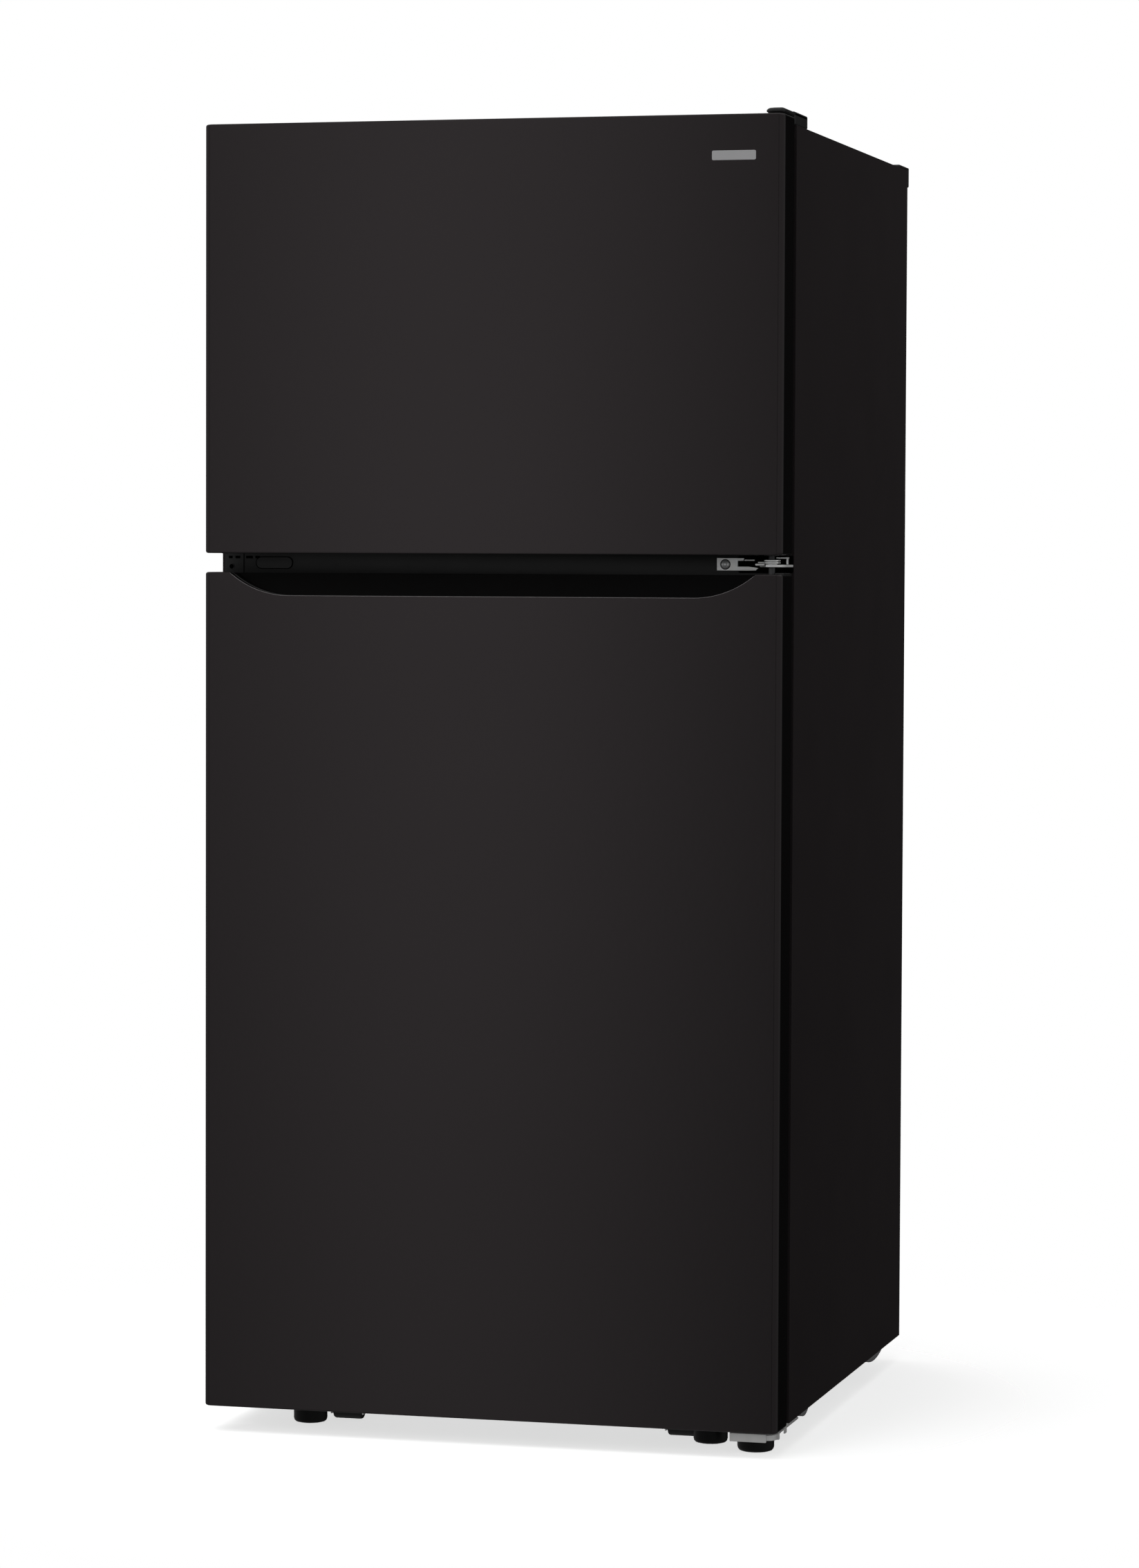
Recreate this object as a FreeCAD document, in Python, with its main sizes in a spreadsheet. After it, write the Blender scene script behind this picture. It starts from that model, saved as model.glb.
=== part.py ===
import FreeCAD, Part
import math
import os
import re
import Sketcher

# Top freezer refrigerator. Floor at Z = 0, front towards -Y, hinge side at +X,
# origin under the centre of its plan. Millimetres.

Vector = FreeCAD.Vector
Placement = FreeCAD.Placement
Rotation = FreeCAD.Rotation

DIMENSIONS = {
    # cabinet
    "width": 755.6, "cab_front": -331, "cab_rear": 394, "cab_bottom": 35, "cab_top": 1666,
    "steel": 1, "flange": 27, "back_sheet": 2, "base_sheet": 2,
    "rear_cap": 9.8, "badge_thick": 0.8,
    # doors
    "door_front": -403, "door_rear": -346, "door_radius": 7, "door_flange": 12,
    "fridge_bottom": 33, "fridge_top": 1106, "freezer_bottom": 1130, "freezer_top": 1675,
    "cap_height": 20, "panel": 2.5, "gasket_depth": 10.3, "gasket_inset": 12, "gasket_width": 14,
    "dike_half": 310, "dike_wall": 8, "dike_depth": 43, "dike_below": 62, "dike_above": 78,
    # handle pocket in the top of the lower door
    "pocket_flat": 265, "pocket_end": 345, "pocket_drop": 30, "pocket_arc": 122,
    "pocket_depth": 34, "grip_height": 46,
    # hinge line
    "hinge_x": 358, "hinge_y": -372, "pin_radius": 4, "pin_fit": 0.05,
    # liners and machine space
    "liner": 2.5, "liner_half": 330, "liner_rear": 330, "liner_lip": 374,
    "fridge_floor": 78, "fridge_roof": 1086, "freezer_floor": 1150, "freezer_roof": 1612,
    "step_y": 104, "step_z": 334, "machine_y": 148, "machine_top": 290,
    "rail_bottom": 1098, "rail_top": 1138,
    # shelves, crispers, bins
    "shelf_front": -225, "shelf_rear": 296, "shelf_half": 326, "shelf_rim": 14, "glass": 4,
    "ledge": 9, "shelf_low": 540, "shelf_high": 800, "freezer_shelf_z": 1385,
    "crisper_front": -205, "crisper_rear": 96, "crisper_out": 316, "crisper_in": 7,
    "crisper_floor": 86, "crisper_rim": 322, "crisper_wall": 3, "crisper_lid": 330,
    "bin_half": 299, "bin_rear": -245, "bin_wall": 3,
    # running gear
    "leg_x": 268, "leg_y": -296, "leg_radius": 22, "stud_radius": 5, "stud_top": 60,
    "front_roller_x": 225, "front_roller_y": -264, "front_roller_r": 15, "front_roller_z": 15.3,
    "front_roller_w": 38, "rear_roller_w": 20,
    "rear_roller_x": 300, "rear_roller_y": 340, "rear_roller_r": 16, "rear_roller_z": 16,
    "axle_radius": 3, "bracket_gap": 1.5, "bracket_plate": 2,
    # machine room and cold side
    "tray_z": 38, "fan_radius": 72, "cold_fan_radius": 52, "tube": 3.2, "cover_y": 250,
}

doc = FreeCAD.newDocument("refrigerator")
sheet = doc.addObject("Spreadsheet::Sheet", "dims")
for row, (alias, value) in enumerate(DIMENSIONS.items(), start=1):
    sheet.set("A%d" % row, alias)
    sheet.set("B%d" % row, str(value))
    sheet.setAlias("B%d" % row, alias)
doc.recompute()

parts = []


def link(text):
    """Turn the dimension names in an expression into references to the sheet."""
    return re.sub(r"[a-z][a-z_]*", lambda m: "dims." + m.group() if m.group() in DIMENSIONS else m.group(),
                  str(text))


def size(text):
    """The present value of an expression, for first guesses and for placing by code."""
    return float(sheet.evalExpression(link(text)))


def bind(item, field, text):
    item.setExpression(field, link(text))


def keep(item, label):
    """Name a finished sub-part: its label is its file's name."""
    item.Label = label
    parts.append(item)
    return item


def place(item, x="0", y="0", z="0", axis=None, angle=0):
    if axis:
        item.Placement = Placement(Vector(), Rotation(Vector(*axis), angle))
    for name, text in (("x", x), ("y", y), ("z", z)):
        bind(item, "Placement.Base." + name, text)
    return item


def box(x, y, z):
    """A block between pairs of expressions along X, Y and Z."""
    item = doc.addObject("Part::Box", "block")
    for field, (low, high) in (("Length", x), ("Width", y), ("Height", z)):
        bind(item, field, "(%s) - (%s)" % (high, low))
    return place(item, x[0], y[0], z[0])


def wide(half, y, z):
    """A block centred on the object's middle plane."""
    return box(("-(%s)" % half, half), y, z)


def rod(radius, length, x, y, z, axis="z"):
    """A round bar from a start point along X, Y or Z."""
    item = doc.addObject("Part::Cylinder", "rod")
    bind(item, "Radius", radius)
    bind(item, "Height", length)
    turns = {"x": ((0, 1, 0), 90), "y": ((1, 0, 0), -90), "z": (None, 0)}
    return place(item, x, y, z, *turns[axis])


def fuse(*items):
    if len(items) == 1:
        return items[0]
    whole = doc.addObject("Part::MultiFuse", "fuse")
    whole.Shapes = list(items)
    return whole


def cut(base, *tools):
    rest = doc.addObject("Part::Cut", "cut")
    rest.Base = base
    rest.Tool = fuse(*tools)
    return rest


def arc_between(start, end, radius):
    """The short arc from start to end, bulging left of the way along it for a positive radius."""
    chord = end - start
    side = Vector(-chord.y, chord.x, 0).normalize() * math.copysign(1, radius)
    rise = abs(radius) - math.sqrt(max(radius ** 2 - chord.Length ** 2 / 4, 0))
    middle = (start + end) * 0.5 + side * rise
    return Part.Arc(end, middle, start) if radius > 0 else Part.Arc(start, middle, end)


def ring(item, x, y, radius):
    """A full circle in a sketch."""
    item.addGeometry(Part.Circle(Vector(size(x), size(y), 0), Vector(0, 0, 1), size(radius)))
    for kind, spot, text in (("DistanceX", (0, 3), x), ("DistanceY", (0, 3), y), ("Radius", (0,), radius)):
        mark = item.addConstraint(Sketcher.Constraint(kind, *spot, size(text)))
        bind(item, "Constraints[%d]" % mark, text)
    return item


def sketch(body, role, offset, outline):
    """A closed outline on one of the body's planes. A list holds its corners as pairs of
    expressions, and a third one makes the edge after that corner an arc of that radius.
    A tuple is a circle: centre and radius."""
    item = body.newObject("Sketcher::SketchObject", "outline")
    plane = [f for f in body.Origin.OriginFeatures if f.Role == role][0]
    item.AttachmentSupport = (plane, [""])
    item.MapMode = "FlatFace"
    bind(item, "AttachmentOffset.Base.z", offset)
    if isinstance(outline, tuple):
        return ring(item, *outline)
    corners = [Vector(size(corner[0]), size(corner[1]), 0) for corner in outline]
    for index, corner in enumerate(outline):
        start, end = corners[index], corners[(index + 1) % len(corners)]
        if len(corner) == 3:
            edge = arc_between(start, end, size(corner[2]))
            item.addGeometry(edge)
            mark = item.addConstraint(Sketcher.Constraint("Radius", index, abs(size(corner[2]))))
            bind(item, "Constraints[%d]" % mark, "abs(%s)" % corner[2])
        else:
            item.addGeometry(Part.LineSegment(start, end))
        first = item.Geometry[index].StartPoint
        point = 1 if first.distanceToPoint(start) < 1e-6 else 2
        for kind, text in (("DistanceX", corner[0]), ("DistanceY", corner[1])):
            mark = item.addConstraint(Sketcher.Constraint(kind, index, point, size(text)))
            bind(item, "Constraints[%d]" % mark, text)
    ends = []
    for index in range(len(outline)):
        edge = item.Geometry[index]
        ends.append((1, 2) if edge.StartPoint.distanceToPoint(corners[index]) < 1e-6 else (2, 1))
    for index in range(len(outline)):
        after = (index + 1) % len(outline)
        item.addConstraint(Sketcher.Constraint("Coincident", index, ends[index][1], after, ends[after][0]))
    return item


def prism(role, offset, outline, depth, base=None):
    """A body padded from an outline, along the normal of its plane."""
    body = base or doc.addObject("PartDesign::Body", "body")
    pad = body.newObject("PartDesign::Pad", "pad")
    pad.Profile = sketch(body, role, offset, outline)
    bind(pad, "Length", depth)
    return body


def pocket(body, role, offset, outline, depth):
    """Cut an outline into a body against the normal of its plane, and be sure that it cut."""
    doc.recompute()
    before = body.Shape.Volume
    hole = body.newObject("PartDesign::Pocket", "pocket")
    hole.Profile = sketch(body, role, offset, outline)
    bind(hole, "Length", depth)
    doc.recompute()
    if not body.Shape.Volume < before - 1e-3:
        raise RuntimeError("a pocket in %s cut nothing" % body.Label)
    return body


def turned(outline):
    """A body turned about the vertical axis, from its half outline in radius and height."""
    body = doc.addObject("PartDesign::Body", "body")
    profile = sketch(body, "XZ_Plane", "0", outline)
    turn = body.newObject("PartDesign::Revolution", "turn")
    turn.Profile = profile
    turn.ReferenceAxis = (profile, ["V_Axis"])
    turn.Angle = 360
    return body


def rectangle(x0, x1, y0, y1):
    return [(x0, y0), (x1, y0), (x1, y1), (x0, y1)]


# ---------------------------------------------------------------- cabinet

def cabinet_shell():
    """Folded steel wrap: two sides and the top, with a narrow flange all round the front."""
    inside = "width / 2 - steel"
    outer = wide("width / 2", ("cab_front", "cab_rear"), ("cab_bottom", "cab_top"))
    inner = wide(inside, ("cab_front + steel", "cab_rear + 1"), ("cab_bottom - 1", "cab_top - steel"))
    mouth = wide("width / 2 - flange", ("cab_front - 1", "cab_front + 2"),
                 ("cab_bottom - 1", "cab_top - flange"))
    keep(cut(outer, inner, mouth), "cabinet_shell")


def back_panel():
    sheet_metal = wide("width / 2 - steel", ("cab_rear - back_sheet", "cab_rear"),
                       ("machine_top", "cab_top - steel"))
    keep(sheet_metal, "back_panel")


def base_panel():
    """One bent sheet: floor, front wall of the machine space, and its roof."""
    low, wall, roof = "cab_bottom", "machine_y", "machine_top"
    outline = [
        ("cab_front + steel", low), (wall + " + base_sheet", low),
        (wall + " + base_sheet", roof + " - base_sheet"),
        ("cab_rear - back_sheet", roof + " - base_sheet"), ("cab_rear - back_sheet", roof),
        (wall, roof), (wall, low + " + base_sheet"), ("cab_front + steel", low + " + base_sheet"),
    ]
    body = prism("YZ_Plane", "-(width / 2 - steel)", outline, "width - 2 * steel")
    for side in ("-leg_x", "leg_x"):
        pocket(body, "XY_Plane", "cab_bottom + base_sheet + 1", (side, "leg_y", "stud_radius + 1"),
               "base_sheet + 2")
    keep(body, "base_panel")


def liner_box(floor, roof, lip_low, lip_high):
    """An open-fronted tub with a lip behind the cabinet's front flange."""
    front = "cab_front + steel"
    outer = wide("liner_half", (front, "liner_rear"), (floor, roof))
    lip = wide("liner_lip", (front, front + " + 2"), (lip_low, lip_high))
    inner = wide("liner_half - liner", (front + " - 1", "liner_rear - liner"),
                 (floor + " + liner", roof + " - liner"))
    return fuse(outer, lip), inner


def ledges(heights, rear):
    """Pairs of moulded ledges that shelves rest on."""
    made = []
    for height in heights:
        for low, high in (("-liner_half + 1", "-liner_half + ledge"),
                          ("liner_half - ledge", "liner_half - 1")):
            made.append(box((low, high), ("shelf_front + 20", rear), (height + " - 8", height)))
    return made


def freezer_liner():
    tub, inner = liner_box("freezer_floor", "freezer_roof", "rail_bottom + 21", "cab_top - 4")
    keep(fuse(cut(tub, inner), *ledges(["freezer_shelf_z"], "cover_y - 12")), "freezer_liner")


def fridge_liner():
    """The lower tub steps up at the rear over the machine space."""
    tub, inner = liner_box("fridge_floor", "fridge_roof", "cab_bottom + 5", "rail_bottom + 19")
    step_outside = wide("liner_half + 1", ("step_y", "liner_rear + 1"), ("fridge_floor - 1", "step_z"))
    step_inside = wide("liner_half + 2", ("step_y - liner", "liner_rear + 2"),
                       ("fridge_floor - 2", "step_z + liner"))
    shelves = ledges(["shelf_low", "shelf_high"], "liner_rear - 20")
    runners = []
    for low, high in (("-liner_half + 1", "-liner_half + ledge"), ("liner_half - ledge", "liner_half - 1")):
        runners.append(box((low, high), ("crisper_front + 12", "step_y - 4"),
                           ("crisper_lid - 7", "crisper_lid")))
    keep(fuse(cut(cut(tub, step_outside), cut(inner, step_inside)), *shelves, *runners), "fridge_liner")


def cabinet_foam():
    """Foamed insulation between the wrap, the tubs and the base."""
    block = wide("width / 2 - steel", ("cab_front + steel + 2", "cab_rear - back_sheet"),
                 ("cab_bottom + base_sheet", "cab_top - steel"))
    step = wide("liner_half + 1", ("step_y", "liner_rear + 1"), ("fridge_floor - 1", "step_z"))
    fridge_tub = wide("liner_half", ("cab_front", "liner_rear"), ("fridge_floor", "fridge_roof"))
    freezer_tub = wide("liner_half", ("cab_front", "liner_rear"), ("freezer_floor", "freezer_roof"))
    machine = wide("width / 2", ("machine_y", "cab_rear"), ("cab_bottom", "machine_top"))
    bores = [rod("stud_radius + 3", "32", side, "leg_y", "cab_bottom", "z") for side in ("-leg_x", "leg_x")]
    keep(cut(block, cut(fridge_tub, step), freezer_tub, machine, *bores), "cabinet_foam")


def mullion_rail():
    """Front rail between the two compartments, a shallow channel with its web to the front."""
    web = wide("liner_lip", ("cab_front - steel", "cab_front"), ("rail_bottom", "rail_top"))
    keep(web, "mullion_rail")


def mullion_plug():
    """Capsule cover over the spare hinge holes, for hanging the doors the other way round."""
    low, middle, high = "rail_bottom + 12", "rail_bottom + 20", "rail_bottom + 28"
    outline = [("-324", low), ("-290", low, "-8"), ("-282", middle, "-8"), ("-290", high),
               ("-324", high, "-8"), ("-332", middle, "-8")]
    keep(prism("XZ_Plane", "-(cab_front - steel)", outline, "1.6"), "mullion_plug")


def rear_corner_caps():
    """Plastic caps that close the folded corners at the top of the back."""
    caps = []
    for low, high in (("-width / 2", "-width / 2 + 33"), ("width / 2 - 33", "width / 2")):
        caps.append(box((low, high), ("cab_rear - 57", "cab_rear + rear_cap"), ("cab_top", "cab_top + 4")))
        caps.append(box((low, high), ("cab_rear", "cab_rear + rear_cap"), ("cab_top - 23", "cab_top + 1")))
    keep(fuse(*caps), "rear_corner_caps")


def side_glides():
    """Shallow bowed runners pressed into the bottom edge of each side."""
    short = [("-262", "cab_bottom", "-49"), ("-215", "cab_bottom")]
    long = [("160", "cab_bottom", "-212"), ("268", "cab_bottom")]
    glides = [prism("YZ_Plane", start, outline, "22")
              for start in ("-width / 2", "width / 2 - 22") for outline in (short, long)]
    keep(fuse(*glides), "side_glides")


# ---------------------------------------------------------------- doors

def door_skin(label, low, high):
    """Steel door wrap: front face and two folded sides with a return at the back."""
    outer, inner, front = "width / 2", "width / 2 - steel", "door_front"
    lip, rear, bend = "width / 2 - door_flange", "door_rear", "door_radius"
    inner_bend = "door_radius - steel"
    outline = [
        ("-(%s)" % outer, rear), ("-(%s)" % outer, "%s + %s" % (front, bend), "-" + bend),
        ("-(%s) + %s" % (outer, bend), front), ("%s - %s" % (outer, bend), front, "-" + bend),
        (outer, "%s + %s" % (front, bend)), (outer, rear), (lip, rear), (lip, rear + " - steel"),
        (inner, rear + " - steel"), (inner, "%s + %s" % (front, bend), inner_bend),
        ("%s - %s" % (outer, bend), front + " + steel"),
        ("-(%s) + %s" % (outer, bend), front + " + steel", inner_bend),
        ("-(%s)" % inner, "%s + %s" % (front, bend)), ("-(%s)" % inner, rear + " - steel"),
        ("-(%s)" % lip, rear + " - steel"), ("-(%s)" % lip, rear),
    ]
    body = prism("XY_Plane", low, outline, "%s - %s" % (high, low))
    return keep(body, label)


def pocket_outline(top, grow="0"):
    """The handle pocket: a flat floor that sweeps up at both ends to the door's top."""
    floor = "fridge_top - pocket_drop - " + grow
    end, flat = "pocket_end + " + grow, "pocket_flat"
    return [("-(%s)" % end, top), ("-(%s)" % end, "fridge_top", "-pocket_arc"), ("-" + flat, floor),
            (flat, floor, "-pocket_arc"), (end, "fridge_top"), (end, top)]


def rounded_block(low, high):
    """A filling of the wrap, with its two front corners rounded to the wrap's inside."""
    inner, front, rear = "width / 2 - steel", "door_front + steel", "door_rear - steel"
    bend = "door_radius - steel"
    outline = [
        ("-(%s)" % inner, rear), ("-(%s)" % inner, "door_front + door_radius", "-(%s)" % bend),
        ("-(width / 2 - door_radius)", front), ("width / 2 - door_radius", front, "-(%s)" % bend),
        (inner, "door_front + door_radius"), (inner, rear),
    ]
    return prism("XY_Plane", low, outline, "%s - (%s)" % (high, low))


def pin_hole(body, top, depth):
    """A bore for a hinge pin, cut down from the height given."""
    return pocket(body, "XY_Plane", top, ("hinge_x", "hinge_y", "pin_radius + pin_fit"), depth)


def door_cap(label, low, high, bore_top, bore_depth):
    body = rounded_block(low, high)
    keep(body, label)
    pin_hole(body, bore_top, bore_depth)


def door_panel(label, low, high):
    """Formed inner panel: a flat sheet and the raised dike that carries the bins."""
    flat = wide("width / 2 - 6", ("door_rear", "door_rear + panel"), (low + " + 5", high + " - 5"))
    dike_low, dike_high = low + " + dike_below", high + " - dike_above"
    wall = ("door_rear + 1", "door_rear + dike_depth")
    outer = wide("dike_half", wall, (dike_low, dike_high))
    inner = wide("dike_half - dike_wall", ("door_rear", "door_rear + dike_depth + 1"),
                 (dike_low + " + dike_wall", dike_high + " - dike_wall"))
    keep(fuse(flat, cut(outer, inner)), label)


def gasket(label, low, high):
    """Magnetic seal round the door's edge."""
    edge = "width / 2 - gasket_inset"
    body = prism("XZ_Plane", "-1 * (door_rear + panel + gasket_depth)",
                 rectangle("-(%s)" % edge, edge, low + " + gasket_inset", high + " - gasket_inset"),
                 "gasket_depth")
    keep(body, label)
    inner = "width / 2 - gasket_inset - gasket_width"
    trim = "gasket_inset + gasket_width"
    pocket(body, "XZ_Plane", "-1 * (door_rear + panel - 0.5)",
           rectangle("-(%s)" % inner, inner, "%s + %s" % (low, trim), "%s - (%s)" % (high, trim)),
           "gasket_depth + 1")


def bin_tray(floor, height, front_height):
    """An open door bin, lower at its outer face."""
    front, rear = "door_rear + panel", "bin_rear"
    outer = wide("bin_half", (front, rear), (floor, "%s + %s" % (floor, height)))
    inner = wide("bin_half - bin_wall", (front + " + bin_wall", rear + " - bin_wall"),
                 (floor + " + bin_wall", "%s + %s + 1" % (floor, height)))
    lip = wide("bin_half - 30", (rear + " - bin_wall - 1", rear + " + 1"),
               ("%s + %s" % (floor, front_height), "%s + %s + 1" % (floor, height)))
    return cut(outer, inner, lip)


def doors():
    door_skin("freezer_door_skin", "freezer_bottom", "freezer_top")
    cap = "cap_height"
    door_cap("freezer_door_bottom_cap", "freezer_bottom + 1", "freezer_bottom + " + cap,
             "freezer_bottom + " + cap + " - 3", "cap_height")
    door_cap("freezer_door_top_cap", "freezer_top - " + cap, "freezer_top - 1",
             "freezer_top", "cap_height - 3")
    keep(rounded_block("freezer_bottom + " + cap, "freezer_top - " + cap), "freezer_door_foam")
    door_panel("freezer_door_panel", "freezer_bottom", "freezer_top")
    gasket("freezer_door_gasket", "freezer_bottom", "freezer_top")
    bins = [bin_tray("freezer_bottom + 320", "70", "52"), bin_tray("freezer_bottom + 85", "90", "66")]
    keep(fuse(*bins), "freezer_door_bins")

    skin = door_skin("fridge_door_skin", "fridge_bottom", "fridge_top")
    pocket(skin, "XZ_Plane", "-1 * (door_front - 1)", pocket_outline("fridge_top + 1"), "3")
    door_cap("fridge_door_bottom_cap", "fridge_bottom + 1", "fridge_bottom + " + cap,
             "fridge_bottom + " + cap + " - 3", "cap_height")
    handle_cap()
    keep(rounded_block("fridge_bottom + " + cap, "fridge_top - grip_height"), "fridge_door_foam")
    door_panel("fridge_door_panel", "fridge_bottom", "fridge_top")
    gasket("fridge_door_gasket", "fridge_bottom", "fridge_top")
    bins = [bin_tray("fridge_bottom + 90", "110", "80"), bin_tray("fridge_bottom + 385", "95", "68"),
            bin_tray("fridge_bottom + 640", "80", "56")]
    keep(fuse(*bins), "fridge_door_bins")
    dairy_box()


def handle_cap():
    """Top cap of the lower door, with the handle pocket moulded into it."""
    body = rounded_block("fridge_top - grip_height", "fridge_top - 1")
    keep(body, "fridge_door_handle_cap")
    pocket(body, "XZ_Plane", "-1 * door_front",
           pocket_outline("fridge_top + 1"), "pocket_depth + 1")
    pin_hole(body, "fridge_top", "cap_height - 3")


def dairy_box():
    """Covered shelf at the top of the lower door, with a lid hung at its upper edge."""
    floor, roof, rear = "fridge_bottom + 850", "fridge_bottom + 955", "bin_rear"
    outer = wide("bin_half", ("door_rear + panel", rear), (floor, roof))
    inner = wide("bin_half - bin_wall", ("door_rear + panel + bin_wall", rear + " + 1"),
                 (floor + " + 3", roof + " - 3"))
    sill = wide("bin_half - 1", (rear + " - 3", rear), (floor + " + 1", floor + " + 18"))
    keep(fuse(cut(outer, inner), sill), "dairy_box")
    pivot = roof + " - 3"
    lid = wide("bin_half - bin_wall - 1", (rear + " + 0.5", rear + " + 3"), (floor + " + 12", pivot))
    barrel = rod("2.5", "2 * bin_half - 2", "1 - bin_half", rear + " + 2.8", pivot, "x")
    keep(fuse(lid, barrel), "dairy_lid")


# ---------------------------------------------------------------- hinges

def pin(low, high):
    return rod("pin_radius", "(%s) - (%s)" % (high, low), "hinge_x", "hinge_y", low, "z")


def hinges():
    """Three pressed brackets with their pins: under the cabinet, in the gap, and on the roof."""
    blade = "freezer_bottom - 15"
    plate = box(("279", "326"), ("cab_front - steel - 3", "cab_front - steel"),
                ("rail_bottom + 12.5", "rail_bottom + 28.5"))
    arm = box(("312", "width / 2 - 1"), ("hinge_y - 12", "cab_front - steel - 1"), (blade, blade + " + 3"))
    pins = pin("fridge_top - 15", "freezer_bottom + 14")
    keep(fuse(plate, arm, pins), "middle_hinge")

    flat = box(("316", "width / 2 - 2"), ("door_front + 8", "cab_front + 66"), ("29.5", "32"))
    seat = box(("316", "width / 2 - 2"), ("cab_front + 2", "cab_front + 66"), ("31", "cab_bottom"))
    lip = box(("316", "363"), ("door_front + 5", "door_front + 8"), ("21", "32"))
    keep(fuse(flat, seat, lip, pin("30", "fridge_bottom + 14")), "bottom_hinge")

    over = "freezer_top + 2"
    plate = box(("353", "371"), ("hinge_y - 12", "cab_front + 60"), (over, over + " + 3"))
    foot = box(("353", "371"), ("cab_front + 6", "cab_front + 60"), ("cab_top", over + " + 1"))
    keep(fuse(plate, foot, pin("freezer_top - 15", over + " + 1")), "top_hinge")


def top_hinge_cover():
    """Plastic cover over the upper hinge, a thin shell open below."""
    x, top = ("350", "width / 2 - 2"), "cab_top + 17"
    over_door = box(x, ("door_front + 10", "cab_front + 73"), ("freezer_top + 1", top))
    over_roof = box(x, ("door_rear + 12", "cab_front + 73"), ("cab_top", top))
    hollow_x = ("352", "width / 2 - 4")
    inner_door = box(hollow_x, ("door_front + 12", "cab_front + 71"), ("freezer_top", top + " - 1.5"))
    inner_roof = box(hollow_x, ("door_rear + 14", "cab_front + 71"), ("cab_top - 1", top + " - 1.5"))
    keep(cut(fuse(over_door, over_roof), inner_door, inner_roof), "top_hinge_cover")


# ---------------------------------------------------------------- running gear

def levelling_legs():
    """Screw legs: a wide plastic foot with a rounded sole on a threaded stud."""
    for side, x in (("left", "-leg_x"), ("right", "leg_x")):
        outline = [
            ("0", "0"), ("leg_radius - 4", "0", "-4"), ("leg_radius", "4"), ("leg_radius", "27"),
            ("stud_radius", "29"), ("stud_radius", "stud_top"), ("0", "stud_top"),
        ]
        keep(place(turned(outline), x, "leg_y"), "leg_" + side)


def hinge_foot():
    """Fixed foot under the bottom hinge."""
    outline = [("0", "0"), ("19.5", "0", "-4"), ("23.5", "4"), ("23.5", "29.5"), ("0", "29.5")]
    keep(place(turned(outline), "336", "cab_front - 5"), "hinge_foot")


def fork(x, y, height, top, half):
    """The forked bracket of one roller, with its riveted axle."""
    gap = half + " + bracket_gap"
    outer = gap + " + bracket_plate"
    block = box(("%s - (%s)" % (x, outer), "%s + %s" % (x, outer)), (y + " - 11", y + " + 11"),
                (height + " - 8", top))
    slot = box(("%s - (%s)" % (x, gap), "%s + %s" % (x, gap)), (y + " - 12", y + " + 12"),
               (height + " - 9", top + " - bracket_plate"))
    axle = rod("axle_radius", "2 * (%s)" % outer, "%s - (%s)" % (x, outer), y, height, "x")
    return fuse(cut(block, slot), axle)


def rollers():
    """Four rollers on fixed axles: the front pair hangs just clear, the rear pair carries."""
    forks = []
    for end, top in (("front", "cab_bottom"), ("rear", "tray_z")):
        x, y, height, radius, across = ["%s_roller_%s" % (end, field) for field in "xyzrw"]
        half = across + " / 2"
        for side, centre in (("left", "-" + x), ("right", x)):
            outline = [
                ("axle_radius + pin_fit", "-(%s)" % half), (radius + " - 2", "-(%s)" % half),
                (radius, "-(%s) + 2" % half), (radius, half + " - 2"), (radius + " - 2", half),
                ("axle_radius + pin_fit", half),
            ]
            keep(place(turned(outline), centre, y, height, (0, 1, 0), 90), "%s_roller_%s" % (end, side))
            forks.append(fork(centre, y, height, top, half))
    keep(fuse(*forks), "roller_brackets")


# ---------------------------------------------------------------- interior

def shelf(height):
    """A plastic-rimmed pane: the rim is the frame, the glass drops into it."""
    outer = wide("shelf_half", ("shelf_front", "shelf_rear"), (height, height + " + shelf_rim"))
    through = wide("shelf_half - 22", ("shelf_front + 22", "shelf_rear - 22"),
                   (height + " - 1", height + " + shelf_rim + 1"))
    rebate = wide("shelf_half - 12", ("shelf_front + 12", "shelf_rear - 12"),
                  (height + " + shelf_rim - glass", height + " + shelf_rim + 1"))
    pane = wide("shelf_half - 12.5", ("shelf_front + 12.5", "shelf_rear - 12.5"),
                (height + " + shelf_rim - glass", height + " + shelf_rim"))
    return cut(outer, through, rebate), pane


def shelves():
    frames, panes = zip(shelf("shelf_low"), shelf("shelf_high"))
    keep(fuse(*frames), "shelf_frames")
    keep(fuse(*panes), "shelf_glass")


def crispers():
    lid = wide("shelf_half", ("crisper_front - 5", "step_y - 4"), ("crisper_lid", "crisper_lid + 10"))
    keep(lid, "crisper_cover")
    for side, low, high in (("left", "-crisper_out", "-crisper_in"), ("right", "crisper_in", "crisper_out")):
        outer = box((low, high), ("crisper_front", "crisper_rear"), ("crisper_floor", "crisper_rim - 2"))
        inner = box((low + " + crisper_wall", high + " - crisper_wall"),
                    ("crisper_front + crisper_wall", "crisper_rear - crisper_wall"),
                    ("crisper_floor + crisper_wall", "crisper_rim"))
        keep(cut(outer, inner), "crisper_" + side)


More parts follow.
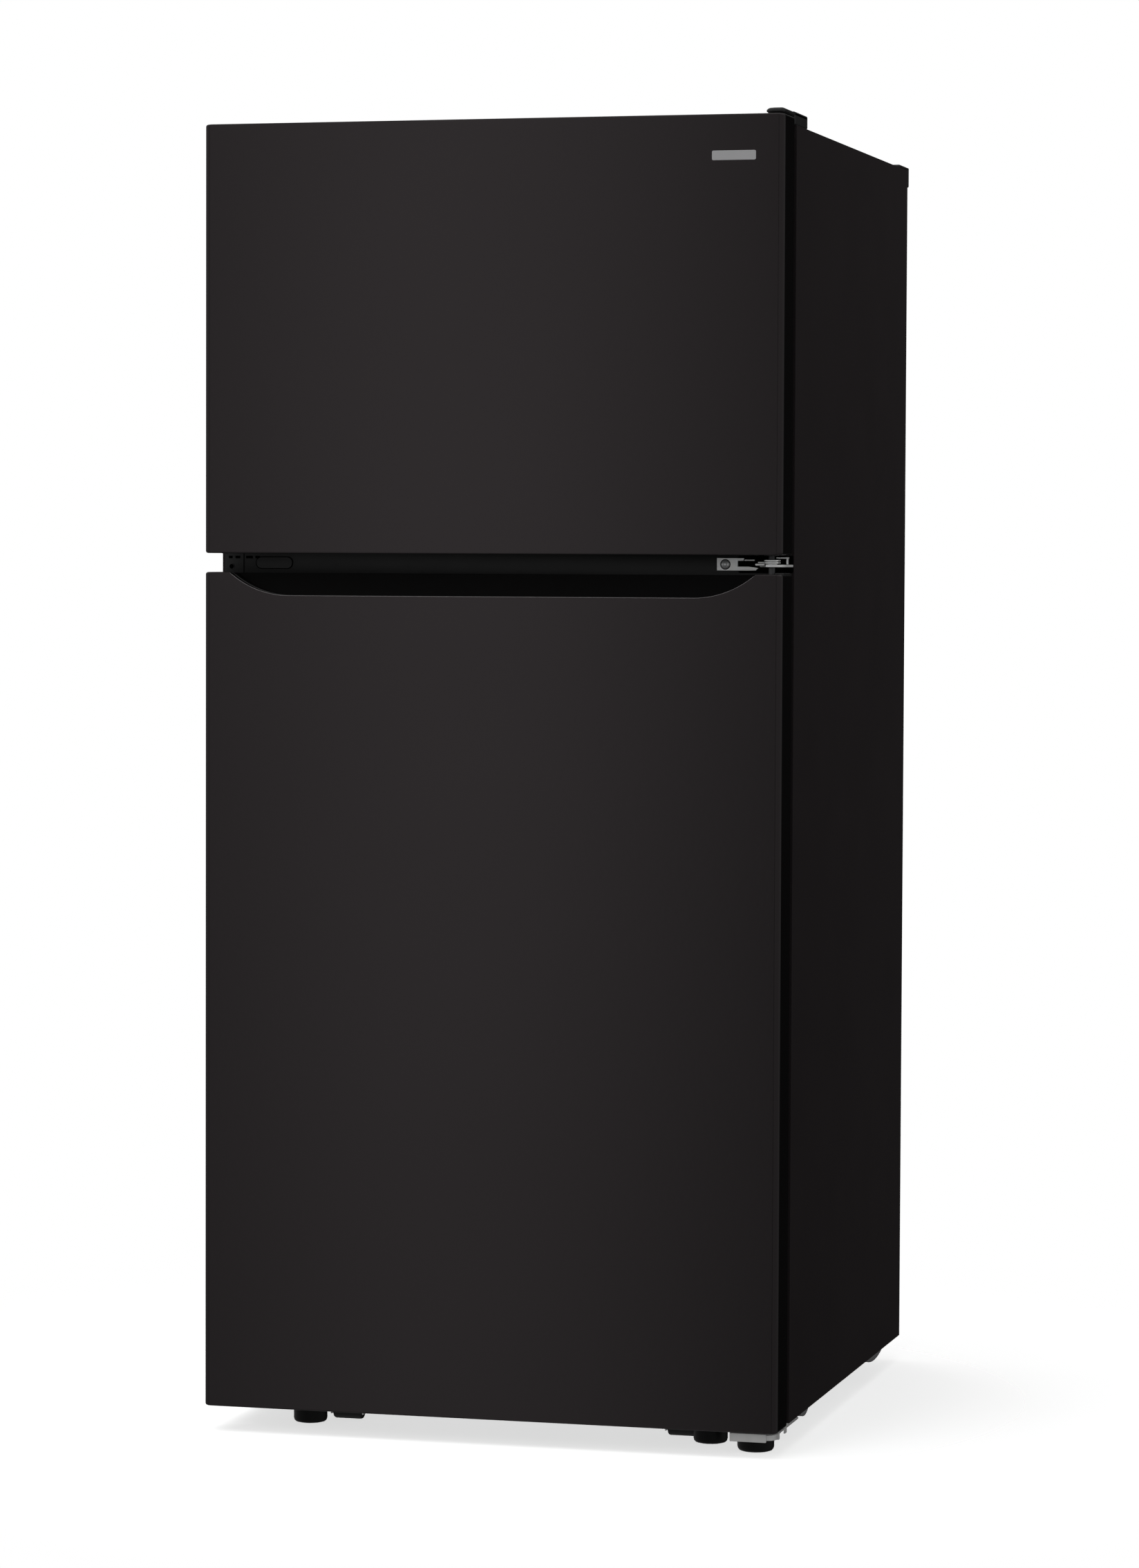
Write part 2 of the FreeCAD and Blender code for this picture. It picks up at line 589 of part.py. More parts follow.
def controls():
    """Control housing on the roof of the lower compartment, with its dial, lamp and duct."""
    housing = wide("130", ("-200", "-60"), ("fridge_roof - liner - 42", "fridge_roof - liner"))
    room = wide("124", ("-194", "-66"), ("fridge_roof - liner - 39", "fridge_roof - liner - 3"))
    bore = rod("4.5", "8", "60", "-201", "fridge_roof - liner - 21", "y")
    keep(cut(housing, room, bore), "control_box")
    knob = fuse(rod("17", "12", "60", "-213", "fridge_roof - liner - 21", "y"),
                rod("4", "10", "60", "-202", "fridge_roof - liner - 21", "y"))
    keep(knob, "temperature_dial")
    lens = wide("90", ("-58", "30"), ("fridge_roof - liner - 30", "fridge_roof - liner"))
    keep(lens, "light_lens")
    duct = cut(wide("62", ("liner_rear - liner - 28", "liner_rear - liner"),
                    ("shelf_low + 40", "fridge_roof - liner")),
               wide("59", ("liner_rear - liner - 25", "liner_rear - liner + 1"),
                    ("shelf_low + 43", "fridge_roof - liner - 3")))
    keep(duct, "air_duct")


def freezer_inside():
    width_in = "liner_half - liner - 0.5"
    cover = wide(width_in, ("cover_y", "cover_y + 3"), ("freezer_floor + liner", "freezer_roof - liner"))
    ports = [rod("cold_fan_radius + 3", "5", "0", "cover_y - 1", "freezer_roof - 95", "y")]
    keep(cut(cover, *ports), "evaporator_cover")
    thickness = ("freezer_shelf_z", "freezer_shelf_z + 8")
    shelf_bars = [wide("shelf_half", ("shelf_front", "shelf_front + 8"), thickness),
                  wide("shelf_half", ("cover_y - 14", "cover_y - 6"), thickness)]
    for number in range(21):
        x = "(shelf_half - 6) * %d / 10" % (number - 10)
        shelf_bars.append(rod("2.5", "cover_y - shelf_front - 18", x, "shelf_front + 4",
                              "freezer_shelf_z + 4", "y"))
    keep(fuse(*shelf_bars), "freezer_shelf")


def serpentine(label, start, run, pitch, turns, plane_y):
    """One tube folded back and forth: straight runs in X joined by half-round bends."""
    edges = []
    radius = pitch / 2
    left, height = start
    right = left + run
    for number in range(turns):
        z = height + pitch * number
        a, b = (left, right) if number % 2 == 0 else (right, left)
        edges.append(Part.LineSegment(Vector(a, plane_y, z), Vector(b, plane_y, z)).toShape())
        if number < turns - 1:
            out = radius if number % 2 == 0 else -radius
            bend = Part.Arc(Vector(b, plane_y, z), Vector(b + out, plane_y, z + radius),
                            Vector(b, plane_y, z + pitch))
            edges.append(bend.toShape())
    ring = Part.Wire(Part.makeCircle(size("tube"), Vector(left, plane_y, height), Vector(1, 0, 0)))
    item = doc.addObject("Part::Feature", label)
    item.Shape = Part.Wire(edges).makePipeShell([ring], True, False)
    keep(item, label)


def fan(label, radius, centre, axis):
    """A four-bladed fan: hub and flat pitched blades."""
    hub = Part.makeCylinder(radius * 0.28, 16, Vector(0, 0, -8))
    blades = []
    for number in range(4):
        blade = Part.makeBox(radius * 0.76, radius * 0.62, 2.4, Vector(radius * 0.22, -radius * 0.31, -1.2))
        blade.rotate(Vector(), Vector(1, 0, 0), 24)
        blade.rotate(Vector(), Vector(0, 0, 1), 90 * number)
        blades.append(blade)
    item = doc.addObject("Part::Feature", label)
    item.Shape = hub.multiFuse(blades)
    item.Placement = Placement(Vector(*centre), Rotation(Vector(0, 0, 1), Vector(*axis)))
    keep(item, label)


def cold_side():
    coil_z = size("freezer_floor") + 45
    serpentine("evaporator_coil", (-245, coil_z), 490, 28, 9, size("cover_y") + 40)
    fan("evaporator_fan", size("cold_fan_radius"),
        (0, size("cover_y") + 2, size("freezer_roof") - 95), (0, -1, 0))


def machine_room():
    keep(wide("width / 2 - 6", ("machine_y + 2", "cab_rear - 4"), ("tray_z", "tray_z + 2")), "machine_tray")
    cover = wide("width / 2 - 5", ("cab_rear - 3", "cab_rear - 1"), ("cab_bottom + 8", "machine_top - 5"))
    slots = []
    for number in range(12):
        x = "%d" % (-300 + number * 50)
        slots.append(box((x, x + " + 34"), ("cab_rear - 5", "cab_rear + 1"), ("90", "96")))
        slots.append(box((x, x + " + 34"), ("cab_rear - 5", "cab_rear + 1"), ("110", "116")))
        slots.append(box((x, x + " + 34"), ("cab_rear - 5", "cab_rear + 1"), ("210", "216")))
    inlet_hole = box(("-356", "-322"), ("cab_rear - 5", "cab_rear + 1"), ("226", "250"))
    keep(cut(cover, inlet_hole, *slots), "machine_cover")
    inlet = cut(box(("-355.5", "-322.5"), ("cab_rear - 24", "cab_rear"), ("226.5", "249.5")),
                box(("-351", "-327"), ("cab_rear - 18", "cab_rear + 1"), ("230", "246")))
    keep(inlet, "power_inlet")

    dome = [
        ("0", "tray_z + 2"), ("60", "tray_z + 2"), ("60", "58"), ("82", "72"), ("92", "95"), ("92", "150"),
        ("86", "178", "-60"), ("50", "212"), ("0", "212"),
    ]
    keep(place(turned(dome), "200", "272"), "compressor")
    serpentine("condenser_coil", (-300, 76), 180, 26, 7, 272)
    fan("condenser_fan", size("fan_radius"), (-20, 272, 160), (1, 0, 0))
    stand = box(("8", "48"), ("268", "276"), ("tray_z + 2", "140"))
    cold_motor = rod("22", "50", "0", "cover_y + 14", "freezer_roof - 95", "y")
    keep(fuse(rod("26", "40", "8", "272", "160", "x"), stand, cold_motor), "fan_motors")
    pan = cut(box(("-345", "-70"), ("190", "360"), ("tray_z + 2", "tray_z + 22")),
              box(("-342", "-73"), ("193", "357"), ("tray_z + 5", "tray_z + 23")))
    keep(pan, "drain_pan")


def badge():
    """Plain metal plate on the upper door."""
    plate = box(("286", "342"), ("door_front - badge_thick", "door_front"), ("1618", "1630"))
    keep(plate, "badge")


cabinet_shell()
back_panel()
base_panel()
freezer_liner()
fridge_liner()
cabinet_foam()
mullion_rail()
mullion_plug()
rear_corner_caps()
side_glides()
doors()
hinges()
top_hinge_cover()
levelling_legs()
hinge_foot()
rollers()
shelves()
crispers()
controls()
freezer_inside()
cold_side()
machine_room()
badge()
doc.recompute()

for item in doc.Objects:
    if "Invalid" in item.State or "Error" in item.State:
        raise RuntimeError("%s did not build" % item.Label)
os.makedirs("parts", exist_ok=True)
for item in parts:
    shape = item.Shape
    if shape.isNull() or not shape.isValid():
        raise RuntimeError("%s has no good shape" % item.Label)
for item in parts:
    item.Shape.exportStep("parts/%s.step" % item.Label)
print(len(parts), "parts")
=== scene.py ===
from math import atan2, cos, pi, radians, sin, sqrt

import bmesh
import bpy
from mathutils import Matrix, Vector


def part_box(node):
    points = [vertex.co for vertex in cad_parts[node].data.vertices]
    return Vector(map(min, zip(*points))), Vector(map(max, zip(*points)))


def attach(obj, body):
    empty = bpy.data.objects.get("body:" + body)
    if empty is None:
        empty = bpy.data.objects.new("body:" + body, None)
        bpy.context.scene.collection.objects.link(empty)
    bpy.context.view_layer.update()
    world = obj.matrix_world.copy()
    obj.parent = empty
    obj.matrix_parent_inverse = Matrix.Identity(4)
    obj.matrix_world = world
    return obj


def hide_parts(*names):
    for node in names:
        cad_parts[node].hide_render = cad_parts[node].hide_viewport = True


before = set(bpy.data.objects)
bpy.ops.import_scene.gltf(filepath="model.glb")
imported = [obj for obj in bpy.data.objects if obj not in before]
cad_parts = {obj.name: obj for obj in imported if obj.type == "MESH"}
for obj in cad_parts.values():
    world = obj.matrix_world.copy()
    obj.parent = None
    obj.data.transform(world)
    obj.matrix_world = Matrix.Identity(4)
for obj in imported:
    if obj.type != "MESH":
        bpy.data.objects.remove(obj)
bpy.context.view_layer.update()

scene = bpy.context.scene

# ------------------------------------------------------------------ studio
# A plain white room: a pale floor that fades out into the background, softboxes overhead,
# beside the camera and at the hinge side, and a weak one behind for the back.

scene.view_settings.view_transform = "Standard"
LENS_MM = 111.13
CAMERA_AT = Vector((1.670, -6.2664, 1.1252))
CAMERA_YAW, CAMERA_PITCH, CAMERA_ROLL = radians(-14.93), radians(-2.67), radians(0.23)

ahead = Vector((sin(CAMERA_YAW) * cos(CAMERA_PITCH), cos(CAMERA_YAW) * cos(CAMERA_PITCH), sin(CAMERA_PITCH)))
level_right = Vector((cos(CAMERA_YAW), -sin(CAMERA_YAW), 0))
level_up = level_right.cross(ahead)
right = level_right * cos(CAMERA_ROLL) + level_up * sin(CAMERA_ROLL)
up = right.cross(ahead)
camera = bpy.data.objects.new("camera", bpy.data.cameras.new("camera"))
camera.data.lens = LENS_MM
camera.data.sensor_width = 36
camera.data.clip_end = 100
camera.matrix_world = Matrix.Translation(CAMERA_AT) @ Matrix((right, up, -ahead)).transposed().to_4x4()
scene.collection.objects.link(camera)
scene.camera = camera


def softbox(name, place, target, width, height, power):
    """A rectangular lamp that faces a point. Glossy surfaces mirror it unless it is screened."""
    lamp = bpy.data.lights.new(name, "AREA")
    lamp.shape = "RECTANGLE"
    lamp.size = width
    lamp.size_y = height
    lamp.energy = power
    holder = bpy.data.objects.new(name, lamp)
    holder.location = place
    holder.rotation_euler = (Vector(target) - Vector(place)).to_track_quat("-Z", "Y").to_euler()
    holder.visible_camera = False
    holder.visible_glossy = False
    scene.collection.objects.link(holder)


softbox("overhead_softbox", (-0.9, -0.8, 4.4), (0, 0, 0.6), 5.0, 5.0, 330)
softbox("front_softbox", (-1.6, -4.8, 2.4), (0, 0, 0.9), 2.4, 2.4, 110)
softbox("side_softbox", (4.6, 0.2, 1.5), (0, 0.1, 0.9), 3.0, 3.0, 80)
softbox("rear_softbox", (-3.4, 4.2, 2.6), (0, 0, 0.9), 2.2, 2.2, 60)


class Value:
    """A socket of a node tree, with the arithmetic that the patterns use."""

    def __init__(self, tree, socket):
        self.tree = tree
        self.socket = socket

    def combine(self, operation, first, second):
        node = self.tree.nodes.new("ShaderNodeMath")
        node.operation = operation
        for place, value in zip(node.inputs, (first, second)):
            if isinstance(value, Value):
                self.tree.links.new(value.socket, place)
            else:
                place.default_value = value
        return Value(self.tree, node.outputs[0])

    def __add__(self, other):
        return self.combine("ADD", self, other)

    def __sub__(self, other):
        return self.combine("SUBTRACT", self, other)

    def __rsub__(self, other):
        return self.combine("SUBTRACT", other, self)

    def __mul__(self, other):
        return self.combine("MULTIPLY", self, other)

    def __truediv__(self, other):
        return self.combine("DIVIDE", self, other)

    def __pow__(self, other):
        return self.combine("POWER", self, other)

    __radd__ = __add__
    __rmul__ = __mul__


class Tree:
    """A shader node tree that is written as expressions."""

    def __init__(self, tree):
        self.tree = tree

    def node(self, kind, settings=None, output=0, **sockets):
        """Add a node, give it its settings, then fill its sockets with numbers or links."""
        made = self.tree.nodes.new(kind)
        for name, value in (settings or {}).items():
            setattr(made, name, value)
        for name, value in sockets.items():
            place = made.inputs[int(name[1:])] if name[1:].isdigit() else made.inputs[name.replace("_", " ")]
            if isinstance(value, Value):
                self.tree.links.new(value.socket, place)
            else:
                place.default_value = value
        return Value(self.tree, made.outputs[output]) if len(made.outputs) else None


# What glossy faces mirror: an even room with a narrow bright band at the front left between
# dark screens, and a dark screen behind the hinge side. It is white where it is seen.
world = bpy.data.worlds.new("room")
scene.world = world
world.use_nodes = True
room = Tree(world.node_tree)
world.node_tree.nodes.clear()
direction = room.node("ShaderNodeTexCoord", output=0)
split = {axis: room.node("ShaderNodeSeparateXYZ", output=number, Vector=direction)
         for number, axis in enumerate("xyz")}
along = room.node("ShaderNodeMath", {"operation": "ARCTAN2"}, _0=split["x"], _1=split["y"] * -1)


def lobe(centre, width):
    """A soft upright band of light, round an angle measured from the front."""
    offset = (along - radians(centre)) / radians(width)
    return room.node("ShaderNodeMath", {"operation": "EXPONENT"}, _0=offset ** 2 * -1)


low_fade = room.node("ShaderNodeMapRange", {"interpolation_type": "SMOOTHSTEP"},
                     _0=split["z"], _1=-0.22, _2=0.02, _3=0.70, _4=1.0)
above = room.node("ShaderNodeMapRange", {"interpolation_type": "SMOOTHSTEP"},
                  _0=split["z"], _1=0.20, _2=0.85, _3=0.0, _4=0.30)
ROOM_GLOW, BAND_GLOW = 0.36, 0.57
front_screens = (1 - lobe(-8.0, 6.0) * 0.80) * (1 - lobe(-24.5, 4.5) * 0.55)
rear_screens = (1 - lobe(160, 34) * 0.96) * (1 - lobe(168, 14) * 0.92) * (1 - lobe(-192, 14) * 0.92)
band = lobe(-16.2, 2.5)
glow = (front_screens * rear_screens * ROOM_GLOW + band * BAND_GLOW) * low_fade + above
room_light = room.node("ShaderNodeBackground", Color=(1, 1, 1, 1), Strength=glow)
backdrop = room.node("ShaderNodeBackground", Color=(1, 1, 1, 1), Strength=1.0)
seen = room.node("ShaderNodeLightPath", output=0)
through = room.node("ShaderNodeLightPath", output=6)
both = room.node("ShaderNodeMixShader", _0=seen + through, _1=room_light, _2=backdrop)
room.node("ShaderNodeOutputWorld", Surface=both)



def meshed(form):
    """The finished mesh of a bmesh."""
    mesh = bpy.data.meshes.new("form")
    form.to_mesh(mesh)
    form.free()
    return mesh


plan = bmesh.new()
bmesh.ops.create_circle(plan, cap_ends=True, segments=96, radius=2.2)
floor_mesh = meshed(plan)
floor = bpy.data.objects.new("floor", floor_mesh)
scene.collection.objects.link(floor)
floor_paint = bpy.data.materials.new("pale_floor")
floor_paint.use_nodes = True
ground = Tree(floor_paint.node_tree)
floor_shader = floor_paint.node_tree.nodes["Principled BSDF"]
floor_shader.inputs["Base Color"].default_value = (0.90, 0.90, 0.90, 1)
floor_shader.inputs["Roughness"].default_value = 0.9
floor_shader.inputs["Specular IOR Level"].default_value = 0.1
spot = ground.node("ShaderNodeTexCoord", output=3)
away = ground.node("ShaderNodeVectorMath", {"operation": "LENGTH"}, output=1, _0=spot)
fade = ground.node("ShaderNodeMapRange", {"interpolation_type": "SMOOTHERSTEP"},
                   _0=away, _1=0.30, _2=1.25, _3=0.34, _4=0.0)
bounced = ground.node("ShaderNodeLightPath", output=2)
mirrored = ground.node("ShaderNodeLightPath", output=3)
screened = fade * (1 - mirrored - bounced * 0.6)
floor_paint.node_tree.links.new(screened.socket, floor_shader.inputs["Alpha"])
floor_mesh.materials.append(floor_paint)

# ------------------------------------------------------------------ cabinet wrap
# One sheet of steel folded over the top and down both sides, with a narrow return at the
# front. It is enamelled black with a fine pebbled texture.


class Finish(Tree):
    """A finish: a Principled material whose patterns are written as expressions."""

    def __init__(self, name, colour, gloss=None, grain=None, **constants):
        """Gloss is a roughness, its spread and a noise. Grain is a noise, its depth and its strength."""
        self.material = bpy.data.materials.new(name)
        self.material.use_nodes = True
        super().__init__(self.material.node_tree)
        self.shader = self.tree.nodes["Principled BSDF"]
        self.set("Base Color", (*colour, 1) if isinstance(colour, tuple) else (colour, colour, colour, 1))
        for socket, value in constants.items():
            self.set(socket.replace("_", " "), value)
        self.place = self.node("ShaderNodeTexCoord", output=3)
        if gloss:
            roughness, spread, *pattern = gloss
            self.patches = self.noise(*pattern)
            self.set("Roughness", roughness + self.patches * spread)
        if grain:
            *pattern, depth, strength = grain
            self.relief(self.noise(*pattern), depth, strength)

    def set(self, socket, value):
        if isinstance(value, Value):
            self.tree.links.new(value.socket, self.shader.inputs[socket])
        else:
            self.shader.inputs[socket].default_value = value

    def noise(self, scale, detail=2.0, stretch=None):
        """Noise from 0 to 1. The scale is in features per metre."""
        place = self.place
        if stretch:
            place = self.node("ShaderNodeMapping", _0=place, _3=stretch)
        return self.node("ShaderNodeTexNoise", Vector=place, Scale=scale, Detail=detail)

    def cells(self, scale, feature="F1"):
        return self.node("ShaderNodeTexVoronoi", {"feature": feature}, Vector=self.place, Scale=scale)

    def relief(self, height, depth, strength):
        """Feed a height pattern, in metres at full depth, to the normal."""
        self.set("Normal", self.node("ShaderNodeBump", Strength=strength, Distance=depth, Height=height))

    def blend(self, factor, first, second):
        """A colour between two others."""
        return self.node("ShaderNodeMix", {"data_type": "RGBA"}, output=2, _0=factor,
                         _6=(*first, 1), _7=(*second, 1))

    def mottled(self, first, second):
        """Let the colour follow the same patches as the gloss."""
        self.set("Base Color", self.blend(self.patches, first, second))


def modified(mesh, kind, inputs=(), **settings):
    """A mesh with one modifier applied. Inputs are a node tree's sockets, by identifier."""
    holder = bpy.data.objects.new("holder", mesh)
    scene.collection.objects.link(holder)
    modifier = holder.modifiers.new(kind, kind)
    for setting, value in settings.items():
        setattr(modifier, setting, value)
    for identifier, value in inputs:
        modifier[identifier] = value
    graph = bpy.context.evaluated_depsgraph_get()
    result = bpy.data.meshes.new_from_object(holder.evaluated_get(graph), preserve_all_data_layers=True,
                                             depsgraph=graph)
    bpy.data.objects.remove(holder)
    return result


def fitted(name, mesh, body, slot, finish, *nodes, smooth=40):
    """Put a finished mesh on its body, in place of the CAD nodes that it stands for."""
    mesh.materials.clear()
    mesh.materials.append(finish.material)
    if smooth:
        mesh.shade_smooth()
        mesh.set_sharp_from_angle(angle=radians(smooth))
        mesh = modified(mesh, "WEIGHTED_NORMAL", keep_sharp=True)
    mesh.name = name
    piece = bpy.data.objects.new(name, mesh)
    scene.collection.objects.link(piece)
    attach(piece, body)
    if nodes:
        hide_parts(*nodes)


def merged(node):
    """A CAD piece's mesh with its triangles joined again into whole faces."""
    form = bmesh.new()
    form.from_mesh(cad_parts[node].data)
    bmesh.ops.remove_doubles(form, verts=form.verts, dist=1e-5)
    bmesh.ops.dissolve_limit(form, angle_limit=radians(0.5), verts=form.verts, edges=form.edges)
    return meshed(form)


def eased(mesh, radius, steps=3):
    """Round every sharp edge of a mesh to a radius, keeping its flat faces flat."""
    mesh.shade_smooth()
    return modified(mesh, "BEVEL", width=radius, segments=steps, limit_method="ANGLE", angle_limit=radians(35),
                    use_clamp_overlap=True, harden_normals=True)


def eased_copy(node, body, slot, finish, radius, steps=3):
    """The CAD piece itself, with its edges rounded as the real one's are."""
    fitted(node + "_made", eased(merged(node), radius, steps), body, slot, finish, node, smooth=0)


BLACK_TINT = (1.0, 0.88, 0.91, 1)
pebble = Finish("pebbled_black_enamel", 0.0098, (0.50, 0.10, 9, 3), Specular_IOR_Level=0.10, Specular_Tint=BLACK_TINT)
pebble.mottled((0.0090, 0.0076, 0.0079), (0.0110, 0.0092, 0.0096))
pebble.relief(pebble.cells(700, "SMOOTH_F1") + pebble.noise(1600, 1) * 0.4, 0.00022, 0.55)
eased_copy("cabinet_shell", "cabinet", "cabinet_steel", pebble, 0.0009, 2)

# ------------------------------------------------------------------ back, base and tray
# Galvanised sheet closes the back, the base and the floor of the machine space. The sheet
# has the faint grey spangle of hot-dip zinc, and small screws hold the back along its edges.

galvanised = Finish("galvanised_sheet", (0.55, 0.57, 0.58), Metallic=0.6)
spangle = galvanised.node("ShaderNodeTexVoronoi", {"feature": "F1"}, output=1,
                          Vector=galvanised.place, Scale=110.0)
spangle_tone = galvanised.node("ShaderNodeSeparateColor", output=0, _0=spangle)
galvanised.set("Roughness", 0.34 + spangle_tone * 0.20)
galvanised.set("Base Color", galvanised.blend(spangle_tone, (0.50, 0.52, 0.53), (0.60, 0.62, 0.63)))
galvanised.relief(spangle_tone, 0.00004, 0.4)
for node in ("base_panel", "machine_tray"):
    eased_copy(node, "cabinet", "back_sheet", galvanised, 0.0005, 2)


def boxed(low, high):
    """A closed block between two corners."""
    form = bmesh.new()
    middle = (Vector(low) + Vector(high)) / 2
    extent = Vector(high) - Vector(low)
    bmesh.ops.create_cube(form, size=1, matrix=Matrix.Translation(middle) @ Matrix.Diagonal((*extent, 1)))
    return meshed(form)


def joined(*meshes):
    """Several meshes as one."""
    form = bmesh.new()
    for mesh in meshes:
        form.from_mesh(mesh)
    return meshed(form)


def slab(outline, axis, low, high, edge=0.0, steps=3):
    """A flat outline made solid between two heights along an axis, with its rims rounded."""
    form = bmesh.new()
    turn = {"x": lambda u, v, w: (w, u, v), "y": lambda u, v, w: (u, w, v), "z": lambda u, v, w: (u, v, w)}[axis]
    bottom = [form.verts.new(turn(u, v, low)) for u, v in outline]
    top = [form.verts.new(turn(u, v, high)) for u, v in outline]
    form.faces.new(bottom)
    form.faces.new(top)
    for number in range(len(outline)):
        after = (number + 1) % len(outline)
        form.faces.new((bottom[number], bottom[after], top[after], top[number]))
    bmesh.ops.recalc_face_normals(form, faces=form.faces)
    if edge:
        rims = [e for e in form.edges if all(v in top for v in e.verts) or all(v in bottom for v in e.verts)]
        bmesh.ops.bevel(form, geom=rims, offset=edge, segments=steps, profile=0.5, affect="EDGES")
    return meshed(form)


def cornered(u0, u1, v0, v1, radii, steps=8):
    """A rectangle's outline with a radius at each corner, from the low corner round."""
    if not isinstance(radii, (tuple, list)):
        radii = [radii] * 4
    points = []
    for (u, v, start), radius in zip(((u0, v0, pi), (u1, v0, 1.5 * pi), (u1, v1, 0), (u0, v1, pi / 2)), radii):
        centre_u = u + radius * (1 if u == u0 else -1)
        centre_v = v + radius * (1 if v == v0 else -1)
        for step in range(steps + 1):
            angle = start + pi / 2 * step / steps
            points.append((centre_u + radius * cos(angle), centre_v + radius * sin(angle)))
    return points


back_low, back_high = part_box("back_panel")
back_sheet = slab(cornered(back_low.x, back_high.x, back_low.z, back_high.z, 0.004), "y", back_low.y,
                  back_high.y, 0.0006)
# Stiffening beads pressed into the sheet, standing inwards of its back face.
beads = [slab(cornered(x - 0.006, x + 0.006, back_low.z + 0.12, back_high.z - 0.12, 0.0059), "y",
              back_high.y - 0.001, back_high.y + 0.0016, 0.0012) for x in (-0.25, -0.125, 0, 0.125, 0.25)]
fitted("back_sheet", joined(back_sheet, *beads), "cabinet", "back_sheet", galvanised, "back_panel")


def row_maker():
    """A node tree that repeats its geometry along a line and gives it its finish."""
    tree = bpy.data.node_groups.new("row_of_pieces", "GeometryNodeTree")
    for name, kind in (("Geometry", "Geometry"), ("Count", "Int"), ("Step", "Vector"), ("Finish", "Material")):
        tree.interface.new_socket(name, in_out="INPUT", socket_type="NodeSocket" + kind)
    tree.interface.new_socket("Geometry", in_out="OUTPUT", socket_type="NodeSocketGeometry")
    given, line, copies, real, painted, result = (tree.nodes.new(kind) for kind in (
        "NodeGroupInput", "GeometryNodeMeshLine", "GeometryNodeInstanceOnPoints", "GeometryNodeRealizeInstances",
        "GeometryNodeSetMaterial", "NodeGroupOutput"))
    line.mode = "OFFSET"
    for source, output, target, place in (
        (given, "Count", line, "Count"), (given, "Step", line, "Offset"), (line, "Mesh", copies, "Points"),
        (given, "Geometry", copies, "Instance"), (copies, "Instances", real, "Geometry"),
        (real, "Geometry", painted, "Geometry"), (given, "Finish", painted, "Material"),
        (painted, "Geometry", result, "Geometry"),
    ):
        tree.links.new(source.outputs[output], target.inputs[place])
    return tree


row_of_pieces = row_maker()


def repeated(mesh, count, step, finish):
    """A mesh repeated along a line with the row tree."""
    sockets = {item.name: item.identifier for item in row_of_pieces.interface.items_tree
               if item.in_out == "INPUT"}
    inputs = [(sockets["Count"], count), (sockets["Step"], step), (sockets["Finish"], finish.material)]
    return modified(mesh, "NODES", inputs, node_group=row_of_pieces)


def turned(profile, centre, axis="z", steps=48):
    """A profile of (radius, height) pairs turned about an axis, closed at its ends."""
    form = bmesh.new()
    turn = {"x": lambda u, v, w: (w, u, v), "y": lambda u, v, w: (v, w, u), "z": lambda u, v, w: (u, v, w)}[axis]
    rings = []
    for radius, height in profile:
        count = steps if radius > 1e-6 else 1
        rings.append([form.verts.new(Vector(centre) + Vector(turn(
            radius * cos(2 * pi * n / steps), radius * sin(2 * pi * n / steps), height))) for n in range(count)])
    for low, high in zip(rings, rings[1:]):
        for n in range(steps):
            a, b = low[n % len(low)], low[(n + 1) % len(low)]
            c, d = high[(n + 1) % len(high)], high[n % len(high)]
            corners = [v for i, v in enumerate((a, b, c, d)) if v not in (a, b, c, d)[:i]]
            if len(corners) > 2:
                form.faces.new(corners)
    for ring in (rings[0], rings[-1]):
        if len(ring) > 1:
            form.faces.new(ring)
    bmesh.ops.recalc_face_normals(form, faces=form.faces)
    return meshed(form)


def hex_screw(centre, axis, out, radius=0.0042):
    """A washer-faced screw head, standing out along an axis."""
    height = radius * 0.62 * out
    washer = turned([(0, 0), (radius * 1.35, 0), (radius * 1.35, height * 0.25), (radius, height * 0.34),
                     (0, height * 0.34)], centre, axis, 24)
    head = turned([(0, height * 0.3), (radius * 0.92, height * 0.3), (radius * 0.92, height * 0.9),
                   (radius * 0.8, height), (radius * 0.45, height), (radius * 0.42, height * 0.6),
                   (0, height * 0.6)], centre, axis, 6)
    return joined(washer, head)


zinc = Finish("bright_zinc", 0.80, (0.30, 0.16, 60, 4), (900, 2, 0.00003, 0.5), Metallic=0.75)
zinc.mottled((0.74, 0.76, 0.78), (0.92, 0.91, 0.88))
screw_gap = (back_high.z - back_low.z - 0.05) / 7
side_screws = [repeated(hex_screw((x, back_high.y - 0.0005, back_low.z + 0.025), "y", 1), 8, (0, 0, screw_gap), zinc)
               for x in (back_low.x + 0.012, back_high.x - 0.012)]
fitted("back_screws", joined(*side_screws), "cabinet", "zinc", zinc)

# ------------------------------------------------------------------ machine cover and inlet
# A sheet cover over the machine space, with rows of pressed louvres for the air, and the
# socket that takes the supply lead. The louvres are hoods pushed out over the cut slots.

LOUVRE_HEIGHTS = (0.096, 0.116, 0.216)
cover_low, cover_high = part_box("machine_cover")
eased_copy("machine_cover", "cabinet", "back_sheet", galvanised, 0.0003, 2)
hood = slab([(cover_high.y - 0.0008, 0.0), (cover_high.y + 0.0032, -0.0005), (cover_high.y + 0.0036, 0.0005),
             (cover_high.y - 0.0008, 0.0062)], "x", -0.301, -0.264, 0.0)


def placed(mesh, move, turn=0.0):
    """A mesh turned about the Y axis, then moved."""
    mesh.transform(Matrix.Translation(move) @ Matrix.Rotation(turn, 4, "Y"))
    return mesh


